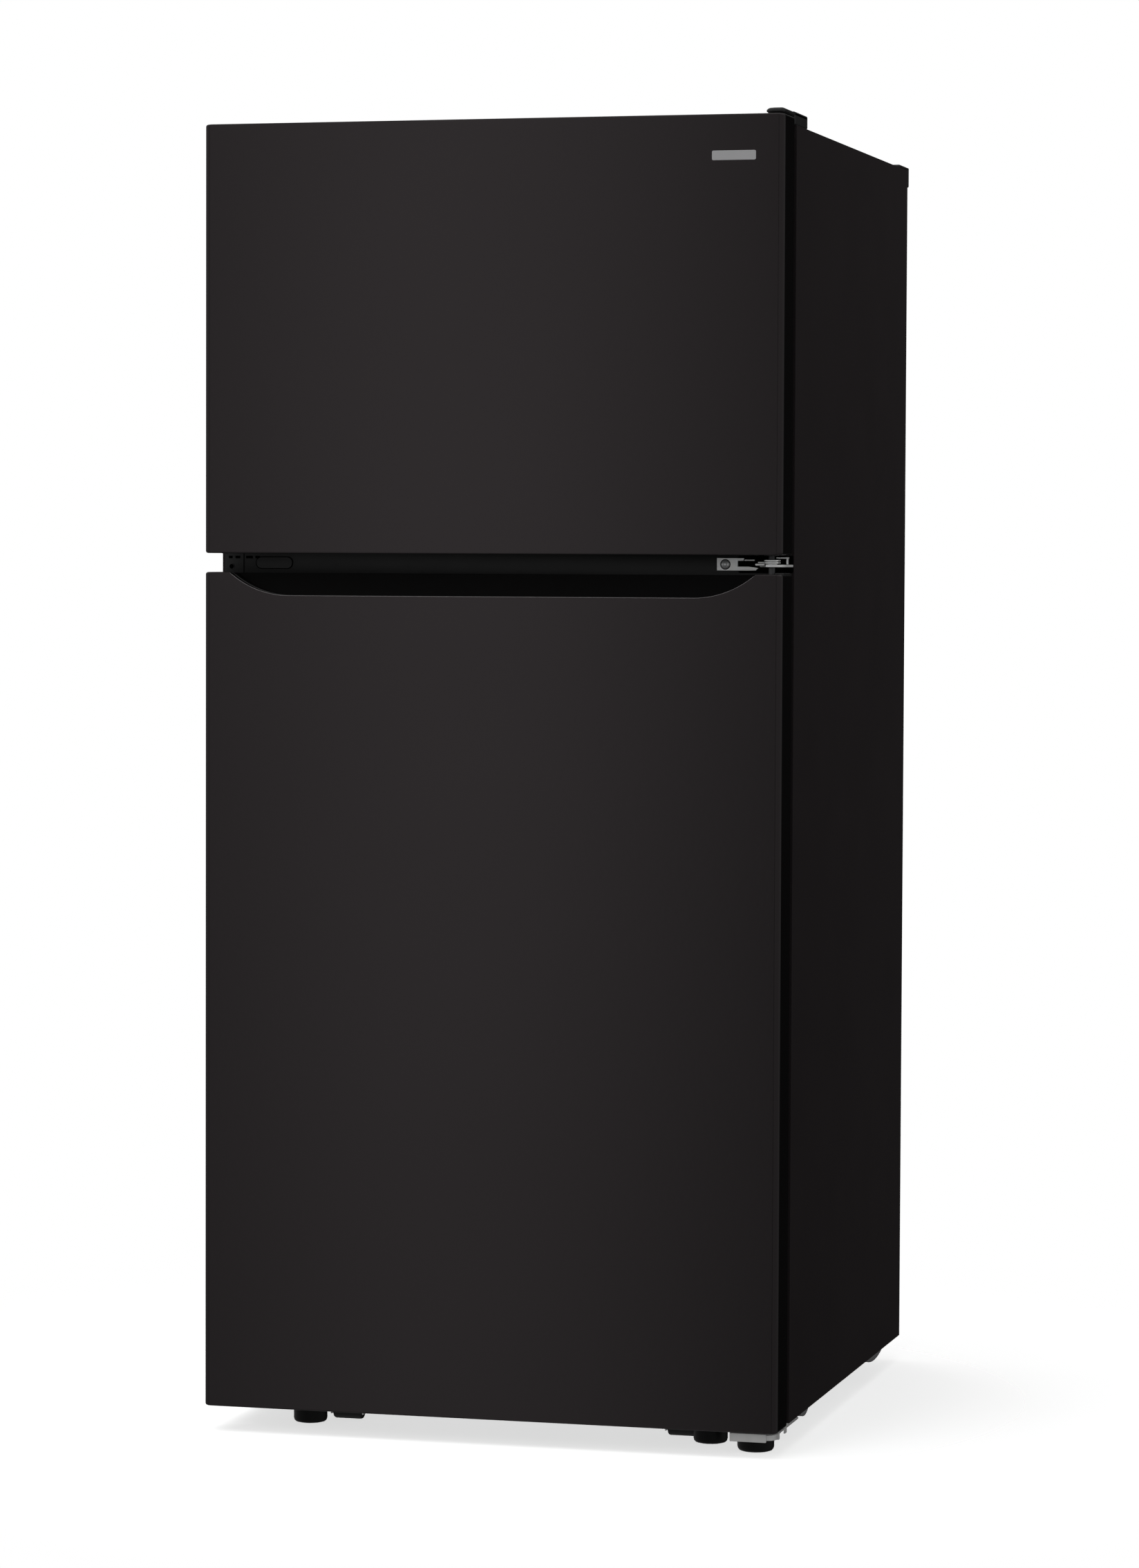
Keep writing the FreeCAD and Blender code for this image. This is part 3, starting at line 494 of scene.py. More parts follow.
hoods = [repeated(placed(hood.copy(), (0, 0, height)), 12, (0.050, 0, 0), galvanised) for height in LOUVRE_HEIGHTS]
fitted("machine_cover_louvres", joined(*hoods), "cabinet", "back_sheet", galvanised, smooth=25)
cover_screws = [repeated(hex_screw((-0.355, cover_high.y - 0.0005, z), "y", 1), 5, (0.1775, 0, 0), zinc)
                for z in (cover_low.z + 0.010, cover_high.z - 0.010)]
fitted("machine_cover_screws", joined(*cover_screws), "cabinet", "zinc", zinc)

black_plastic = Finish("moulded_black_plastic", 0.012, (0.40, 0.14, 40, 3), (2200, 2, 0.00006, 0.5),
                       Specular_IOR_Level=0.4)
eased_copy("power_inlet", "cabinet", "fan_plastic", black_plastic, 0.0008)
inlet_low, inlet_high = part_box("power_inlet")
blade = boxed((inlet_low.x + 0.009, inlet_high.y - 0.016, inlet_low.z + 0.010),
              (inlet_low.x + 0.011, inlet_high.y - 0.006, inlet_low.z + 0.014))
fitted("inlet_blades", repeated(eased(blade, 0.0003), 3, (0.0065, 0, 0), zinc), "cabinet", "zinc", zinc, smooth=0)

# ------------------------------------------------------------------ compressor and condenser
# The black enamelled compressor dome, the folded condenser tube with its wires, the fan that
# draws air across them, both fan motors and the pan that dries off the defrost water.

enamel_pot = Finish("black_pot_enamel", (0.010, 0.010, 0.011), (0.24, 0.16, 25, 3), (300, 3, 0.0001, 0.6))
pot_low, pot_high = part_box("compressor")
pot_centre = ((pot_low.x + pot_high.x) / 2, (pot_low.y + pot_high.y) / 2, 0)
pot_radius = (pot_high.x - pot_low.x) / 2
pot_profile = [(0, pot_low.z), (0.060, pot_low.z), (0.062, pot_low.z + 0.018)]
for step in range(9):
    angle = -pi / 2 + pi / 2 * step / 8
    pot_profile.append((0.062 + 0.028 * cos(angle), 0.092 + 0.034 * sin(angle)))
pot_profile += [(pot_radius - 0.0005, 0.121), (pot_radius, 0.123), (pot_radius, 0.129), (pot_radius - 0.002, 0.131)]
for step in range(12):
    angle = pi / 2 * step / 11
    pot_profile.append((0.089 * cos(angle), 0.138 + (pot_high.z - 0.138) * sin(angle)))
fitted("compressor_pot", turned(pot_profile, pot_centre), "cabinet", "condenser_steel", enamel_pot, "compressor")


def kept(node, finish):
    """A CAD piece whose shape is right: only its finish changes."""
    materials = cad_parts[node].data.materials
    materials.clear()
    materials.append(finish.material)


kept("condenser_coil", enamel_pot)
coil_low, coil_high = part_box("condenser_coil")
fin_wire = turned([(0, coil_low.z - 0.002), (0.0009, coil_low.z - 0.002), (0.0009, coil_high.z + 0.002),
                   (0, coil_high.z + 0.002)], (coil_low.x + 0.020, coil_low.y - 0.0008, 0), "z", 8)
fitted("condenser_wires", repeated(fin_wire, 30, (0.0058, 0, 0), enamel_pot), "cabinet", "condenser_steel",
       enamel_pot)
for node in ("condenser_fan", "evaporator_fan", "fan_motors"):
    kept(node, black_plastic)
eased_copy("drain_pan", "cabinet", "fan_plastic", black_plastic, 0.0012)

# ------------------------------------------------------------------ liners
# Each compartment is a thermoformed white tub with soft inside corners and a lip that is
# trapped behind the cabinet's front return. Ledges are formed in its sides for the shelves.

liner_white = Finish("liner_white", 0.72, (0.30, 0.12, 14, 3), (380, 2, 0.00012, 0.45), Specular_IOR_Level=0.5)
liner_white.set("Base Color", liner_white.blend(liner_white.noise(5, 2), (0.69, 0.70, 0.70), (0.74, 0.75, 0.75)))
WALL = 0.0022
SOFT_CORNER = 0.012


def tub(floors, rear_y, half, roof, lip_half, lip_low, lip_high):
    """A thin tub lofted through rounded outlines from its front lip to its back wall."""
    mouth_y, floor = floors[0]
    outlines = [(mouth_y, cornered(-lip_half, lip_half, lip_low, lip_high, SOFT_CORNER))]
    for out, back in ((0.0040, 0.0), (0.0012, 0.0012), (0.0, 0.0040)):
        outlines.append((mouth_y + back,
                         cornered(-half - out, half + out, floor - out, roof + out, SOFT_CORNER + out)))
    for y, level in floors[1:]:
        outlines.append((y, cornered(-half, half, level, roof, SOFT_CORNER)))
    floor = floors[-1][1]
    for step in range(6):
        inset = SOFT_CORNER * (1 - cos(pi / 2 * step / 5)) * 0.95
        outlines.append((rear_y - SOFT_CORNER + SOFT_CORNER * sin(pi / 2 * step / 5),
                         cornered(-half + inset, half - inset, floor + inset, roof - inset, SOFT_CORNER - inset)))
    form = bmesh.new()
    rings = [[form.verts.new((x, y, z)) for x, z in outline] for y, outline in outlines]
    for near, far in zip(rings, rings[1:]):
        for number in range(len(near)):
            after = (number + 1) % len(near)
            form.faces.new((near[number], near[after], far[after], far[number]))
    back = form.faces.new(rings[-1])
    bmesh.ops.recalc_face_normals(form, faces=form.faces)
    if back.normal.y > 0:
        bmesh.ops.reverse_faces(form, faces=form.faces)
    return modified(meshed(form), "SOLIDIFY", thickness=WALL, offset=-1)


freezer_low, freezer_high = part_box("freezer_liner")
fridge_low, fridge_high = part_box("fridge_liner")
TUB_HALF, LIP_HALF, LIP_REACH = 0.3275, 0.374, 0.0028
TUB_REAR = freezer_high.y - 0.0025
LIP_Y = freezer_low.y + 0.0002
FREEZER_FLOOR, FREEZER_ROOF, FRIDGE_FLOOR, FRIDGE_ROOF = 1.1525, 1.6095, 0.0805, 1.0835
STEP_Y, STEP_Z = 0.1015, 0.3365
quarter = [(SOFT_CORNER * (1 - sin(pi / 2 * step / 5)), SOFT_CORNER * (1 - cos(pi / 2 * step / 5)))
           for step in range(6)]
fridge_floors = [(LIP_Y, FRIDGE_FLOOR)]
fridge_floors += [(STEP_Y - less, FRIDGE_FLOOR + more) for less, more in quarter]
fridge_floors += [(STEP_Y + more, STEP_Z - less) for less, more in quarter]


def side_ledge(height, front_y, rear_y, depth=0.0062):
    """A pair of formed ledges along the two walls."""
    pair = []
    for out in (-1, 1):
        near, far = sorted((out * TUB_HALF, out * (TUB_HALF - depth)))
        pair.append(eased(boxed((near, front_y, height - 0.008), (far, rear_y, height)), 0.0025))
    return joined(*pair)


freezer_tub = tub([(LIP_Y, FREEZER_FLOOR)], TUB_REAR, TUB_HALF, FREEZER_ROOF, LIP_HALF, freezer_low.z, freezer_high.z)
fitted("freezer_tub", joined(freezer_tub, side_ledge(1.3848, -0.205, 0.237)), "cabinet", "liner_plastic",
       liner_white, "freezer_liner")
fridge_tub = tub(fridge_floors, TUB_REAR, TUB_HALF, FRIDGE_ROOF, LIP_HALF, fridge_low.z - LIP_REACH, fridge_high.z)
fitted("fridge_tub", joined(fridge_tub, side_ledge(0.5398, -0.205, 0.308),
                            side_ledge(0.7998, -0.205, 0.308), side_ledge(0.3298, -0.193, 0.098)),
       "cabinet", "liner_plastic", liner_white, "fridge_liner")

# ------------------------------------------------------------------ evaporator and its cover
# The aluminium evaporator with its fins stands behind a white cover at the back of the
# freezer. A round grille of ribs guards the fan, and slots below let the air return.

aluminium = Finish("mill_aluminium", (0.72, 0.73, 0.75), (0.26, 0.16, 120, 3, (1, 1, 0.1)), (500, 2, 0.00003, 0.4),
                   Metallic=1.0)
kept("evaporator_coil", aluminium)
evap_low, evap_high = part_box("evaporator_coil")
fin = boxed((evap_low.x + 0.03, evap_low.y - 0.014, evap_low.z - 0.006),
            (evap_low.x + 0.0304, evap_high.y + 0.014, evap_high.z + 0.006))
fitted("evaporator_fins", repeated(fin, 47, (0.0101, 0, 0), aluminium), "cabinet", "coil_aluminium", aluminium,
       smooth=0)
eased_copy("evaporator_cover", "cabinet", "liner_plastic", liner_white, 0.0008)
cover_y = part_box("evaporator_cover")[0].y
FAN_AXIS_Z = 1.517
RING_RADII = (0.012, 0.021, 0.030, 0.039, 0.048, 0.0565)
grille = [turned([(radius - 0.0012, 0), (radius + 0.0012, 0), (radius + 0.0012, 0.003), (radius - 0.0012, 0.003),
                  (radius - 0.0012, 0)], (0, cover_y - 0.0005, FAN_AXIS_Z), "y") for radius in RING_RADII]
spokes = [placed(boxed((-0.056, cover_y + 0.0002, -0.0012), (0.056, cover_y + 0.0022, 0.0012)),
                 (0, 0, FAN_AXIS_Z), pi * number / 6) for number in range(6)]
fitted("evaporator_grille", joined(*grille, *spokes), "cabinet", "liner_plastic", liner_white, smooth=30)
return_rib = eased(boxed((-0.26, cover_y - 0.003, 1.172), (-0.256, cover_y + 0.0005, 1.215)), 0.001)
fitted("return_ribs", repeated(return_rib, 53, (0.010, 0, 0), liner_white), "cabinet", "liner_plastic",
       liner_white, smooth=0)
duct_low, duct_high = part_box("air_duct")
duct = slab(cornered(duct_low.x, duct_high.x, duct_low.z, duct_high.z, 0.006), "y", duct_low.y, duct_high.y, 0.005)
fitted("air_duct_cover", duct, "cabinet", "liner_plastic", liner_white, "air_duct")
vent = eased(boxed((-0.032, duct_low.y - 0.0008, duct_low.z + 0.05), (0.032, duct_low.y + 0.001, duct_low.z + 0.054)),
             0.0006)
duct_grey = Finish("vent_grey", (0.30, 0.31, 0.32), (0.45, 0.12, 60, 2), (900, 2, 0.00005, 0.5))
fitted("air_duct_vents", repeated(vent, 5, (0, 0, 0.010), duct_grey), "cabinet", "liner_plastic", duct_grey, smooth=0)

# ------------------------------------------------------------------ shelves
# Safety glass in white moulded rims for the lower compartment, and a shelf of white coated
# wire in the freezer.

shelf_white = Finish("shelf_white", (0.72, 0.73, 0.74), (0.34, 0.12, 30, 3), (700, 2, 0.00006, 0.5))
glass = Finish("shelf_glass", (0.95, 0.99, 0.975), (0.02, 0.03, 20, 2), Transmission_Weight=1.0, IOR=1.45, Alpha=0.45)
eased_copy("shelf_frames", "cabinet", "shelf_plastic", shelf_white, 0.0022)
eased_copy("shelf_glass", "cabinet", "glass", glass, 0.0006)
SHELF_HEIGHTS = (("lower", 0.540), ("upper", 0.800))
for name, height in SHELF_HEIGHTS:
    nose = slab(cornered(-0.318, 0.318, height - 0.004, height + 0.016, 0.004), "y", -0.2285, -0.2235, 0.0015)
    fitted("shelf_nose_" + name, nose, "cabinet", "shelf_plastic", shelf_white)
wire_white = Finish("coated_wire", (0.82, 0.82, 0.81), (0.26, 0.10, 80, 2), (400, 2, 0.0001, 0.4), Coat_Weight=0.3)
shelf_low, shelf_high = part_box("freezer_shelf")
shelf_size = shelf_high - shelf_low
rung_start = (shelf_low.x + 0.006, shelf_low.y + 0.003, shelf_high.z - 0.003)
rung = turned([(0, 0), (0.0022, 0), (0.0022, shelf_size.y - 0.006), (0, shelf_size.y - 0.006)], rung_start, "y", 10)
rungs = repeated(rung, 33, ((shelf_size.x - 0.012) / 32, 0, 0), wire_white)
rails = [turned([(0, 0), (0.0034, 0), (0.0034, shelf_size.x - 0.004), (0, shelf_size.x - 0.004)],
                (shelf_low.x + 0.002, y, shelf_low.z + 0.0036), "x", 12)
         for y in (shelf_low.y + 0.0045, (shelf_low.y + shelf_high.y) / 2, shelf_high.y - 0.0045)]
fitted("freezer_wire_shelf", joined(rungs, *rails), "cabinet", "wire", wire_white, "freezer_shelf")

# ------------------------------------------------------------------ crispers
# Two clear drawers under a white cover. Each has a rolled rim and a full-width pull
# moulded across its front.

clear = Finish("clear_styrene", (0.975, 0.99, 0.995), (0.04, 0.05, 16, 3), Transmission_Weight=1.0, IOR=1.35,
               Alpha=0.45)
eased_copy("crisper_cover", "cabinet", "shelf_plastic", shelf_white, 0.0025)
for side in ("left", "right"):
    body = "crisper_" + side
    low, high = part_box(body)
    eased_copy(body, body, "clear_plastic", clear, 0.0011)
    pull = slab([(low.y - 0.0145, high.z - 0.046), (low.y - 0.0145, high.z - 0.034), (low.y - 0.0125, high.z - 0.030),
                 (low.y - 0.002, high.z - 0.030), (low.y - 0.0005, high.z - 0.028), (low.y - 0.0005, high.z - 0.034),
                 (low.y - 0.011, high.z - 0.034), (low.y - 0.0120, high.z - 0.046)], "x", low.x + 0.02,
                high.x - 0.02, 0.0008)
    fitted(body + "_pull", pull, body, "shelf_plastic", shelf_white, smooth=30)

# ------------------------------------------------------------------ controls
# The control housing on the roof of the lower compartment, the ribbed dial with its scale
# marks, and the frosted lamp lens behind it.

eased_copy("control_box", "cabinet", "shelf_plastic", shelf_white, 0.0028)
dial_grey = Finish("dial_grey", (0.52, 0.53, 0.54), (0.38, 0.12, 90, 2), (1200, 2, 0.00005, 0.5))
dial_low, dial_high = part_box("temperature_dial")
dial_centre = ((dial_low.x + dial_high.x) / 2, dial_low.y, (dial_low.z + dial_high.z) / 2)
dial_body = turned([(0, 0), (0.0125, 0), (0.0140, 0.001), (0.0148, 0.008), (0.0168, 0.0105), (0.0168, 0.0118),
                    (0, 0.0118)], dial_centre, "y")
dial_axis = (dial_centre[0], 0, dial_centre[2])
grips = [placed(boxed((-0.0006, dial_low.y + 0.001, 0.0138), (0.0006, dial_low.y + 0.0085, 0.0152)), dial_axis,
                2 * pi * number / 24) for number in range(24)]
pointer = eased(boxed((dial_centre[0] - 0.001, dial_low.y, dial_centre[2] + 0.003),
                      (dial_centre[0] + 0.001, dial_low.y + 0.002, dial_centre[2] + 0.012)), 0.0004)
fitted("dial_knob", joined(dial_body, *grips, pointer), "temperature_dial", "dial_plastic", dial_grey,
       "temperature_dial", smooth=35)
marks = [placed(boxed((-0.0005, dial_low.y + 0.0124, 0.0185), (0.0005, dial_low.y + 0.0132, 0.0205)), dial_axis,
                radians(-120 + 30 * number)) for number in range(9)]
fitted("dial_scale", joined(*marks), "cabinet", "dial_plastic", dial_grey, smooth=0)
frosted = Finish("frosted_lens", (0.92, 0.93, 0.92), (0.40, 0.12, 30, 2), (260, 2, 0.0002, 0.5),
                 Transmission_Weight=0.6, IOR=1.3)
eased_copy("light_lens", "cabinet", "clear_plastic", frosted, 0.004, 4)

# ------------------------------------------------------------------ rail and plug
# The black front rail between the compartments, with the capsule-shaped plug that fills the
# spare hinge holes on the side away from the hinges.

satin_black = Finish("satin_black", 0.0075, (0.38, 0.12, 24, 3), (1500, 2, 0.00004, 0.5), Specular_IOR_Level=0.45)
eased_copy("mullion_rail", "cabinet", "rail_steel", satin_black, 0.0003, 2)
plug_low, plug_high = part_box("mullion_plug")
plug_radius = (plug_high.z - plug_low.z) / 2 - 0.0005
plug_outline = cornered(plug_low.x + 0.0005, plug_high.x - 0.0005, plug_low.z + 0.0005, plug_high.z - 0.0005,
                        plug_radius, 12)


def rope(points, radius, sides=8, closed=False):
    """A round bead that follows points in a plane facing the front."""
    form = bmesh.new()
    rings = []
    for number, point in enumerate(points):
        before, after = points[max(number - 1, 0)], points[min(number + 1, len(points) - 1)]
        if closed:
            before, after = points[number - 1], points[(number + 1) % len(points)]
        along = Vector((after[0] - before[0], 0, after[2] - before[2])).normalized()
        across = Vector((-along.z, 0, along.x))
        rings.append([form.verts.new(Vector(point) + across * radius * cos(2 * pi * s / sides)
                                     + Vector((0, radius * sin(2 * pi * s / sides), 0))) for s in range(sides)])
    pairs = list(zip(rings, rings[1:]))
    if closed:
        pairs.append((rings[-1], rings[0]))
    else:
        form.faces.new(rings[0])
        form.faces.new(rings[-1])
    for low_ring, high_ring in pairs:
        for s in range(sides):
            form.faces.new((low_ring[s], low_ring[(s + 1) % sides], high_ring[(s + 1) % sides], high_ring[s]))
    bmesh.ops.recalc_face_normals(form, faces=form.faces)
    return meshed(form)


plug = slab(plug_outline, "y", plug_low.y + 0.0004, plug_high.y, 0.0004)
plug_shade_line = rope([(x, plug_low.y + 0.0005, z) for x, z in plug_outline], 0.0005, 8, closed=True)
fitted("rail_plug", plug, "cabinet", "trim_plastic", satin_black, "mullion_plug", smooth=50)
# At its end the rail has a folded seam, a round hole with a raised rim, and tool slots.
rail_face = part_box("mullion_rail")[0].y
seam = boxed((-0.3489, rail_face - 0.0005, 1.1005), (-0.3481, rail_face + 0.0003, 1.1295))
hole_rim = rope([(-0.3650 + 0.0034 * cos(2 * pi * n / 24), rail_face - 0.0002, 1.1130 + 0.0034 * sin(2 * pi * n / 24))
                 for n in range(24)], 0.0005, 8, closed=True)
fitted("rail_hole_rim", hole_rim, "cabinet", "rail_steel", satin_black)
# Black films painted as shade: the hole, the folded seam's crease, the tool slots and the groove round the plug are
# black to stand for the shadow inside them.
painted_shade_black = Finish("hole_shadow", 0.001, (0.75, 0.1, 400, 2), (400, 2, 0.00005, 0.3), Specular_IOR_Level=0.0)
hole = turned([(0, -0.0001), (0.0030, -0.0001), (0.0030, 0.0003), (0, 0.0003)], (-0.3650, rail_face, 1.1130), "y", 24)
slots = [boxed((x, rail_face - 0.0001, 1.1235), (x + width, rail_face + 0.0003, 1.1268))
         for x, width in ((-0.3690, 0.0050), (-0.3600, 0.0065), (-0.3455, 0.0090), (-0.3330, 0.0060))]
fitted("rail_openings", joined(hole, seam, *slots), "cabinet", "rail_steel", painted_shade_black)
fitted("rail_plug_groove", plug_shade_line, "cabinet", "trim_plastic", painted_shade_black)

# ------------------------------------------------------------------ door wraps
# Each door is a sheet of steel bent round at both sides, enamelled in smooth black. Its top
# and bottom edges turn in over the end caps. The lower one is cut away for the handle
# pocket, with the cut edge rolled so that it is safe to the fingers.

enamel = Finish("smooth_black_enamel", 0.0024, (0.130, 0.04, 2.2, 3), (170, 3, 0.00010, 0.10), Specular_IOR_Level=0.5,
                Specular_Tint=BLACK_TINT)
enamel.mottled((0.0020, 0.0018, 0.0019), (0.0028, 0.0025, 0.0025))
BEND, EDGE, CORNER, SHEET, MARGIN = 0.007, 0.0014, 0.0032, 0.0009, 0.0004


def wrap_ring(outer, front_y, rear_y, lip, inset_x, inset_y):
    """One level of a door's wrap, from its left return round the front to its right one."""
    x, y = outer - inset_x, front_y + inset_y
    bend = [(BEND * sin(pi / 2 * step / 8), BEND * cos(pi / 2 * step / 8)) for step in range(9)]
    right_half = [(0.0, y), (x / 2, y), (x - BEND - MARGIN, y)]
    right_half += [(x - BEND + over, y + BEND - back) for over, back in bend]
    right_half += [(x, y + BEND + MARGIN), (x, rear_y - MARGIN), (x, rear_y), (lip, rear_y)]
    return [(-u, v) for u, v in reversed(right_half[1:])] + right_half


def door_wrap(node):
    """The bent sheet of one door, with small radii where its ends turn in."""
    low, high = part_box(node)
    ends = []
    for step in range(7):
        rise = CORNER * (1 - cos(pi / 2 * step / 6))
        across = CORNER - sqrt(CORNER ** 2 - (CORNER - rise) ** 2)
        inwards = EDGE - sqrt(EDGE ** 2 - (EDGE - rise) ** 2) if rise < EDGE else 0.0
        ends.append((rise, across, inwards))
    ends = [(0.0, CORNER + 0.003, EDGE + 0.006)] + ends + [(CORNER + MARGIN, 0.0, 0.0)]
    levels = [(low.z + rise, across, inwards) for rise, across, inwards in ends]
    levels += [(high.z - rise, across, inwards) for rise, across, inwards in reversed(ends)]
    form = bmesh.new()
    rings = [[form.verts.new((x, y, z)) for x, y in
              wrap_ring(high.x, low.y, high.y, high.x - 0.012, across, inwards)] for z, across, inwards in levels]
    for lower, upper in zip(rings, rings[1:]):
        for number in range(len(lower) - 1):
            form.faces.new((lower[number], lower[number + 1], upper[number + 1], upper[number]))
    bmesh.ops.recalc_face_normals(form, faces=form.faces)
    if min(form.faces, key=lambda f: f.calc_center_median().y).normal.y > 0:
        bmesh.ops.reverse_faces(form, faces=form.faces)
    return modified(meshed(form), "SOLIDIFY", thickness=SHEET, offset=-1)


fitted("freezer_door_wrap", door_wrap("freezer_door_skin"), "freezer_door", "door_steel", enamel,
       "freezer_door_skin", smooth=35)
door_low, door_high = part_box("fridge_door_skin")
POCKET_FLAT, POCKET_END, POCKET_DROP, POCKET_ARC = 0.265, 0.345, 0.030, 0.122


def pocket_line(grow=0.0, steps=14):
    """The handle pocket's lower edge, from its left top end to its right top end."""
    start = Vector((POCKET_END, door_high.z))
    end = Vector((POCKET_FLAT, door_high.z - POCKET_DROP))
    chord = end - start
    across = Vector((-chord.y, chord.x)).normalized()
    rise = sqrt(POCKET_ARC ** 2 - (chord.length / 2) ** 2)
    centre = (start + end) / 2 + across * rise
    if centre.y < end.y:
        centre = (start + end) / 2 - across * rise
    first = atan2(start.y - centre.y, start.x - centre.x)
    last = atan2(end.y - centre.y, end.x - centre.x)
    arc = []
    for step in range(steps + 1):
        angle = first + (last - first) * step / steps
        arc.append((centre.x + (POCKET_ARC + grow) * cos(angle), centre.y + (POCKET_ARC + grow) * sin(angle)))
    return [(-x, z) for x, z in arc] + [(x, z) for x, z in reversed(arc)]


line = pocket_line()
cutter_outline = [(line[0][0], door_high.z + 0.02)] + line + [(line[-1][0], door_high.z + 0.02)]
cutter = bpy.data.objects.new("cutter", slab(cutter_outline, "y", door_low.y - 0.01, door_low.y + 0.012))
scene.collection.objects.link(cutter)
lower_wrap = modified(door_wrap("fridge_door_skin"), "BOOLEAN", object=cutter, solver="EXACT")
bpy.data.objects.remove(cutter)

ROLL = 0.0009
rolled = [(x, door_low.y + ROLL + 0.0001, min(z - 0.0004, door_high.z - 0.0010)) for x, z in line]
fitted("fridge_door_wrap", lower_wrap, "fridge_door", "door_steel", enamel, "fridge_door_skin", smooth=35)
# The rolled edge is painted far lighter than the door's enamel: a painted highlight for the light that the rounded
# edge catches.
edge_highlight_enamel = Finish("rolled_edge_painted_highlight", (0.060, 0.056, 0.057), (0.26, 0.10, 60, 2), (900, 2, 0.00003, 0.4))
fitted("pocket_rolled_edge", rope(rolled, ROLL, 10), "fridge_door", "door_steel", edge_highlight_enamel)

# ------------------------------------------------------------------ end caps and handle
# Black moulded caps close the doors at both ends. The lower door's top cap carries the
# handle pocket, whose thin rim stands just inside the rolled edge of the steel.

for node, body in (("freezer_door_top_cap", "freezer_door"), ("freezer_door_bottom_cap", "freezer_door"),
                   ("fridge_door_bottom_cap", "fridge_door")):
    eased_copy(node, body, "trim_plastic", satin_black, 0.0006, 2)
# The handle cap is painted darker and duller than the other black trim: painted shade for the deep handle pocket,
# which lies in shadow.
pocket_shade_black = Finish("pocket_shade_black", (0.0025, 0.0024, 0.0024), (0.70, 0.12, 60, 2), (1800, 2, 0.00005, 0.5),
                      Specular_IOR_Level=0.06)
eased_copy("fridge_door_handle_cap", "fridge_door", "trim_plastic", pocket_shade_black, 0.0008, 2)
rim_line = [(x, door_low.y + 0.0150, min(z, door_high.z - 0.0009)) for x, z in pocket_line()]
fitted("handle_rim", rope(rim_line, 0.0008, 10), "fridge_door", "trim_plastic", black_plastic)
for node in ("cabinet_foam", "freezer_door_foam", "fridge_door_foam"):
    foam = Finish(node + "_cells", (0.72, 0.62, 0.36), (0.8, 0.15, 40))
    foam.relief(foam.cells(500), 0.0004, 0.8)
    kept(node, foam)

# ------------------------------------------------------------------ inner door panels
# White formed panels with a raised dike all round, which carries the bins. Each one covers the
# foam of its own door.

SEAL_LIP = 0.0012
for door in ("freezer_door", "fridge_door"):
    panel = merged(door + "_panel")
    seal_low, seal_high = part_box(door + "_gasket")
    for vert in panel.vertices:
        vert.co.x = min(max(vert.co.x, seal_low.x + SEAL_LIP), seal_high.x - SEAL_LIP)
        vert.co.z = min(max(vert.co.z, seal_low.z + SEAL_LIP), seal_high.z - SEAL_LIP)
    fitted(door + "_inner_panel", eased(panel, 0.0026, 4), door, "liner_plastic", liner_white, door + "_panel",
           smooth=0)

vinyl = Finish("black_vinyl", 0.013, (0.5, 0.14, 50, 3), (800, 2, 0.00006, 0.5))
SEAL = [(0.0000, 0.0018), (0.0022, 0.0026), (0.0008, 0.0040), (0.0024, 0.0054), (0.0008, 0.0066),
        (0.0008, 0.0096), (0.0016, 0.0103), (0.0116, 0.0103), (0.0124, 0.0096), (0.0124, 0.0066), (0.0108, 0.0056),
        (0.0126, 0.0042), (0.0116, 0.0026), (0.0140, 0.0018), (0.0140, 0.0000)]


def seal(node, panel_front):
    """A bellows section carried round the door's edge, with a lip that covers the panel's edge."""
    low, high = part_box(node)
    lip = panel_front - low.y + 0.0001
    section = [(SEAL_LIP - 0.0001, 0.0), (SEAL_LIP - 0.0001, lip), (0.0, lip)] + SEAL
    form = bmesh.new()
    corners = []
    for sx, sz in ((-1, -1), (1, -1), (1, 1), (-1, 1)):
        ring = []
        for inward, depth in section:
            x = low.x + inward if sx < 0 else high.x - inward
            z = low.z + inward if sz < 0 else high.z - inward
            ring.append(form.verts.new((x, low.y + depth, z)))
        corners.append(ring)
    for number in range(4):
        here, there = corners[number], corners[(number + 1) % 4]
        for point in range(len(section)):
            after = (point + 1) % len(section)
            form.faces.new((here[point], here[after], there[after], there[point]))
    bmesh.ops.recalc_face_normals(form, faces=form.faces)
    return meshed(form)


for door in ("freezer_door", "fridge_door"):
    panel_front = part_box(door + "_skin")[1].y
    fitted(door + "_seal", seal(door + "_gasket", panel_front), door, "gasket_rubber", vinyl,
           door + "_gasket", smooth=0)

# ------------------------------------------------------------------ door bins
# Clear bins drop on to the dikes. Each has a white trim band along its inner edge.

for door in ("freezer_door", "fridge_door"):
    eased_copy(door + "_bins", door, "clear_plastic", clear, 0.0011)
bins_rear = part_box("fridge_door_bins")[1].y
for name, door, height in (("freezer_upper", "freezer_door", 1.450 + 0.0525),
                           ("freezer_lower", "freezer_door", 1.2815),
                           ("fridge_lower", "fridge_door", 0.2035), ("fridge_middle", "fridge_door", 0.4865),
                           ("fridge_upper", "fridge_door", 0.7295)):
    band_mesh = slab(cornered(-0.2985, 0.2985, height - 0.014, height, 0.003), "y", bins_rear - 0.0025,
                     bins_rear + 0.0018, 0.0009)
    fitted("bin_trim_" + name, band_mesh, door, "shelf_plastic", shelf_white)
eased_copy("dairy_box", "fridge_door", "clear_plastic", clear, 0.0011)
eased_copy("dairy_lid", "dairy_lid", "clear_plastic", clear, 0.0009)

# ------------------------------------------------------------------ hinges
# Pressed and zinc-plated brackets with riveted pins: one in the gap between the doors, one
# under the lower door, and one on the roof below a black cover.

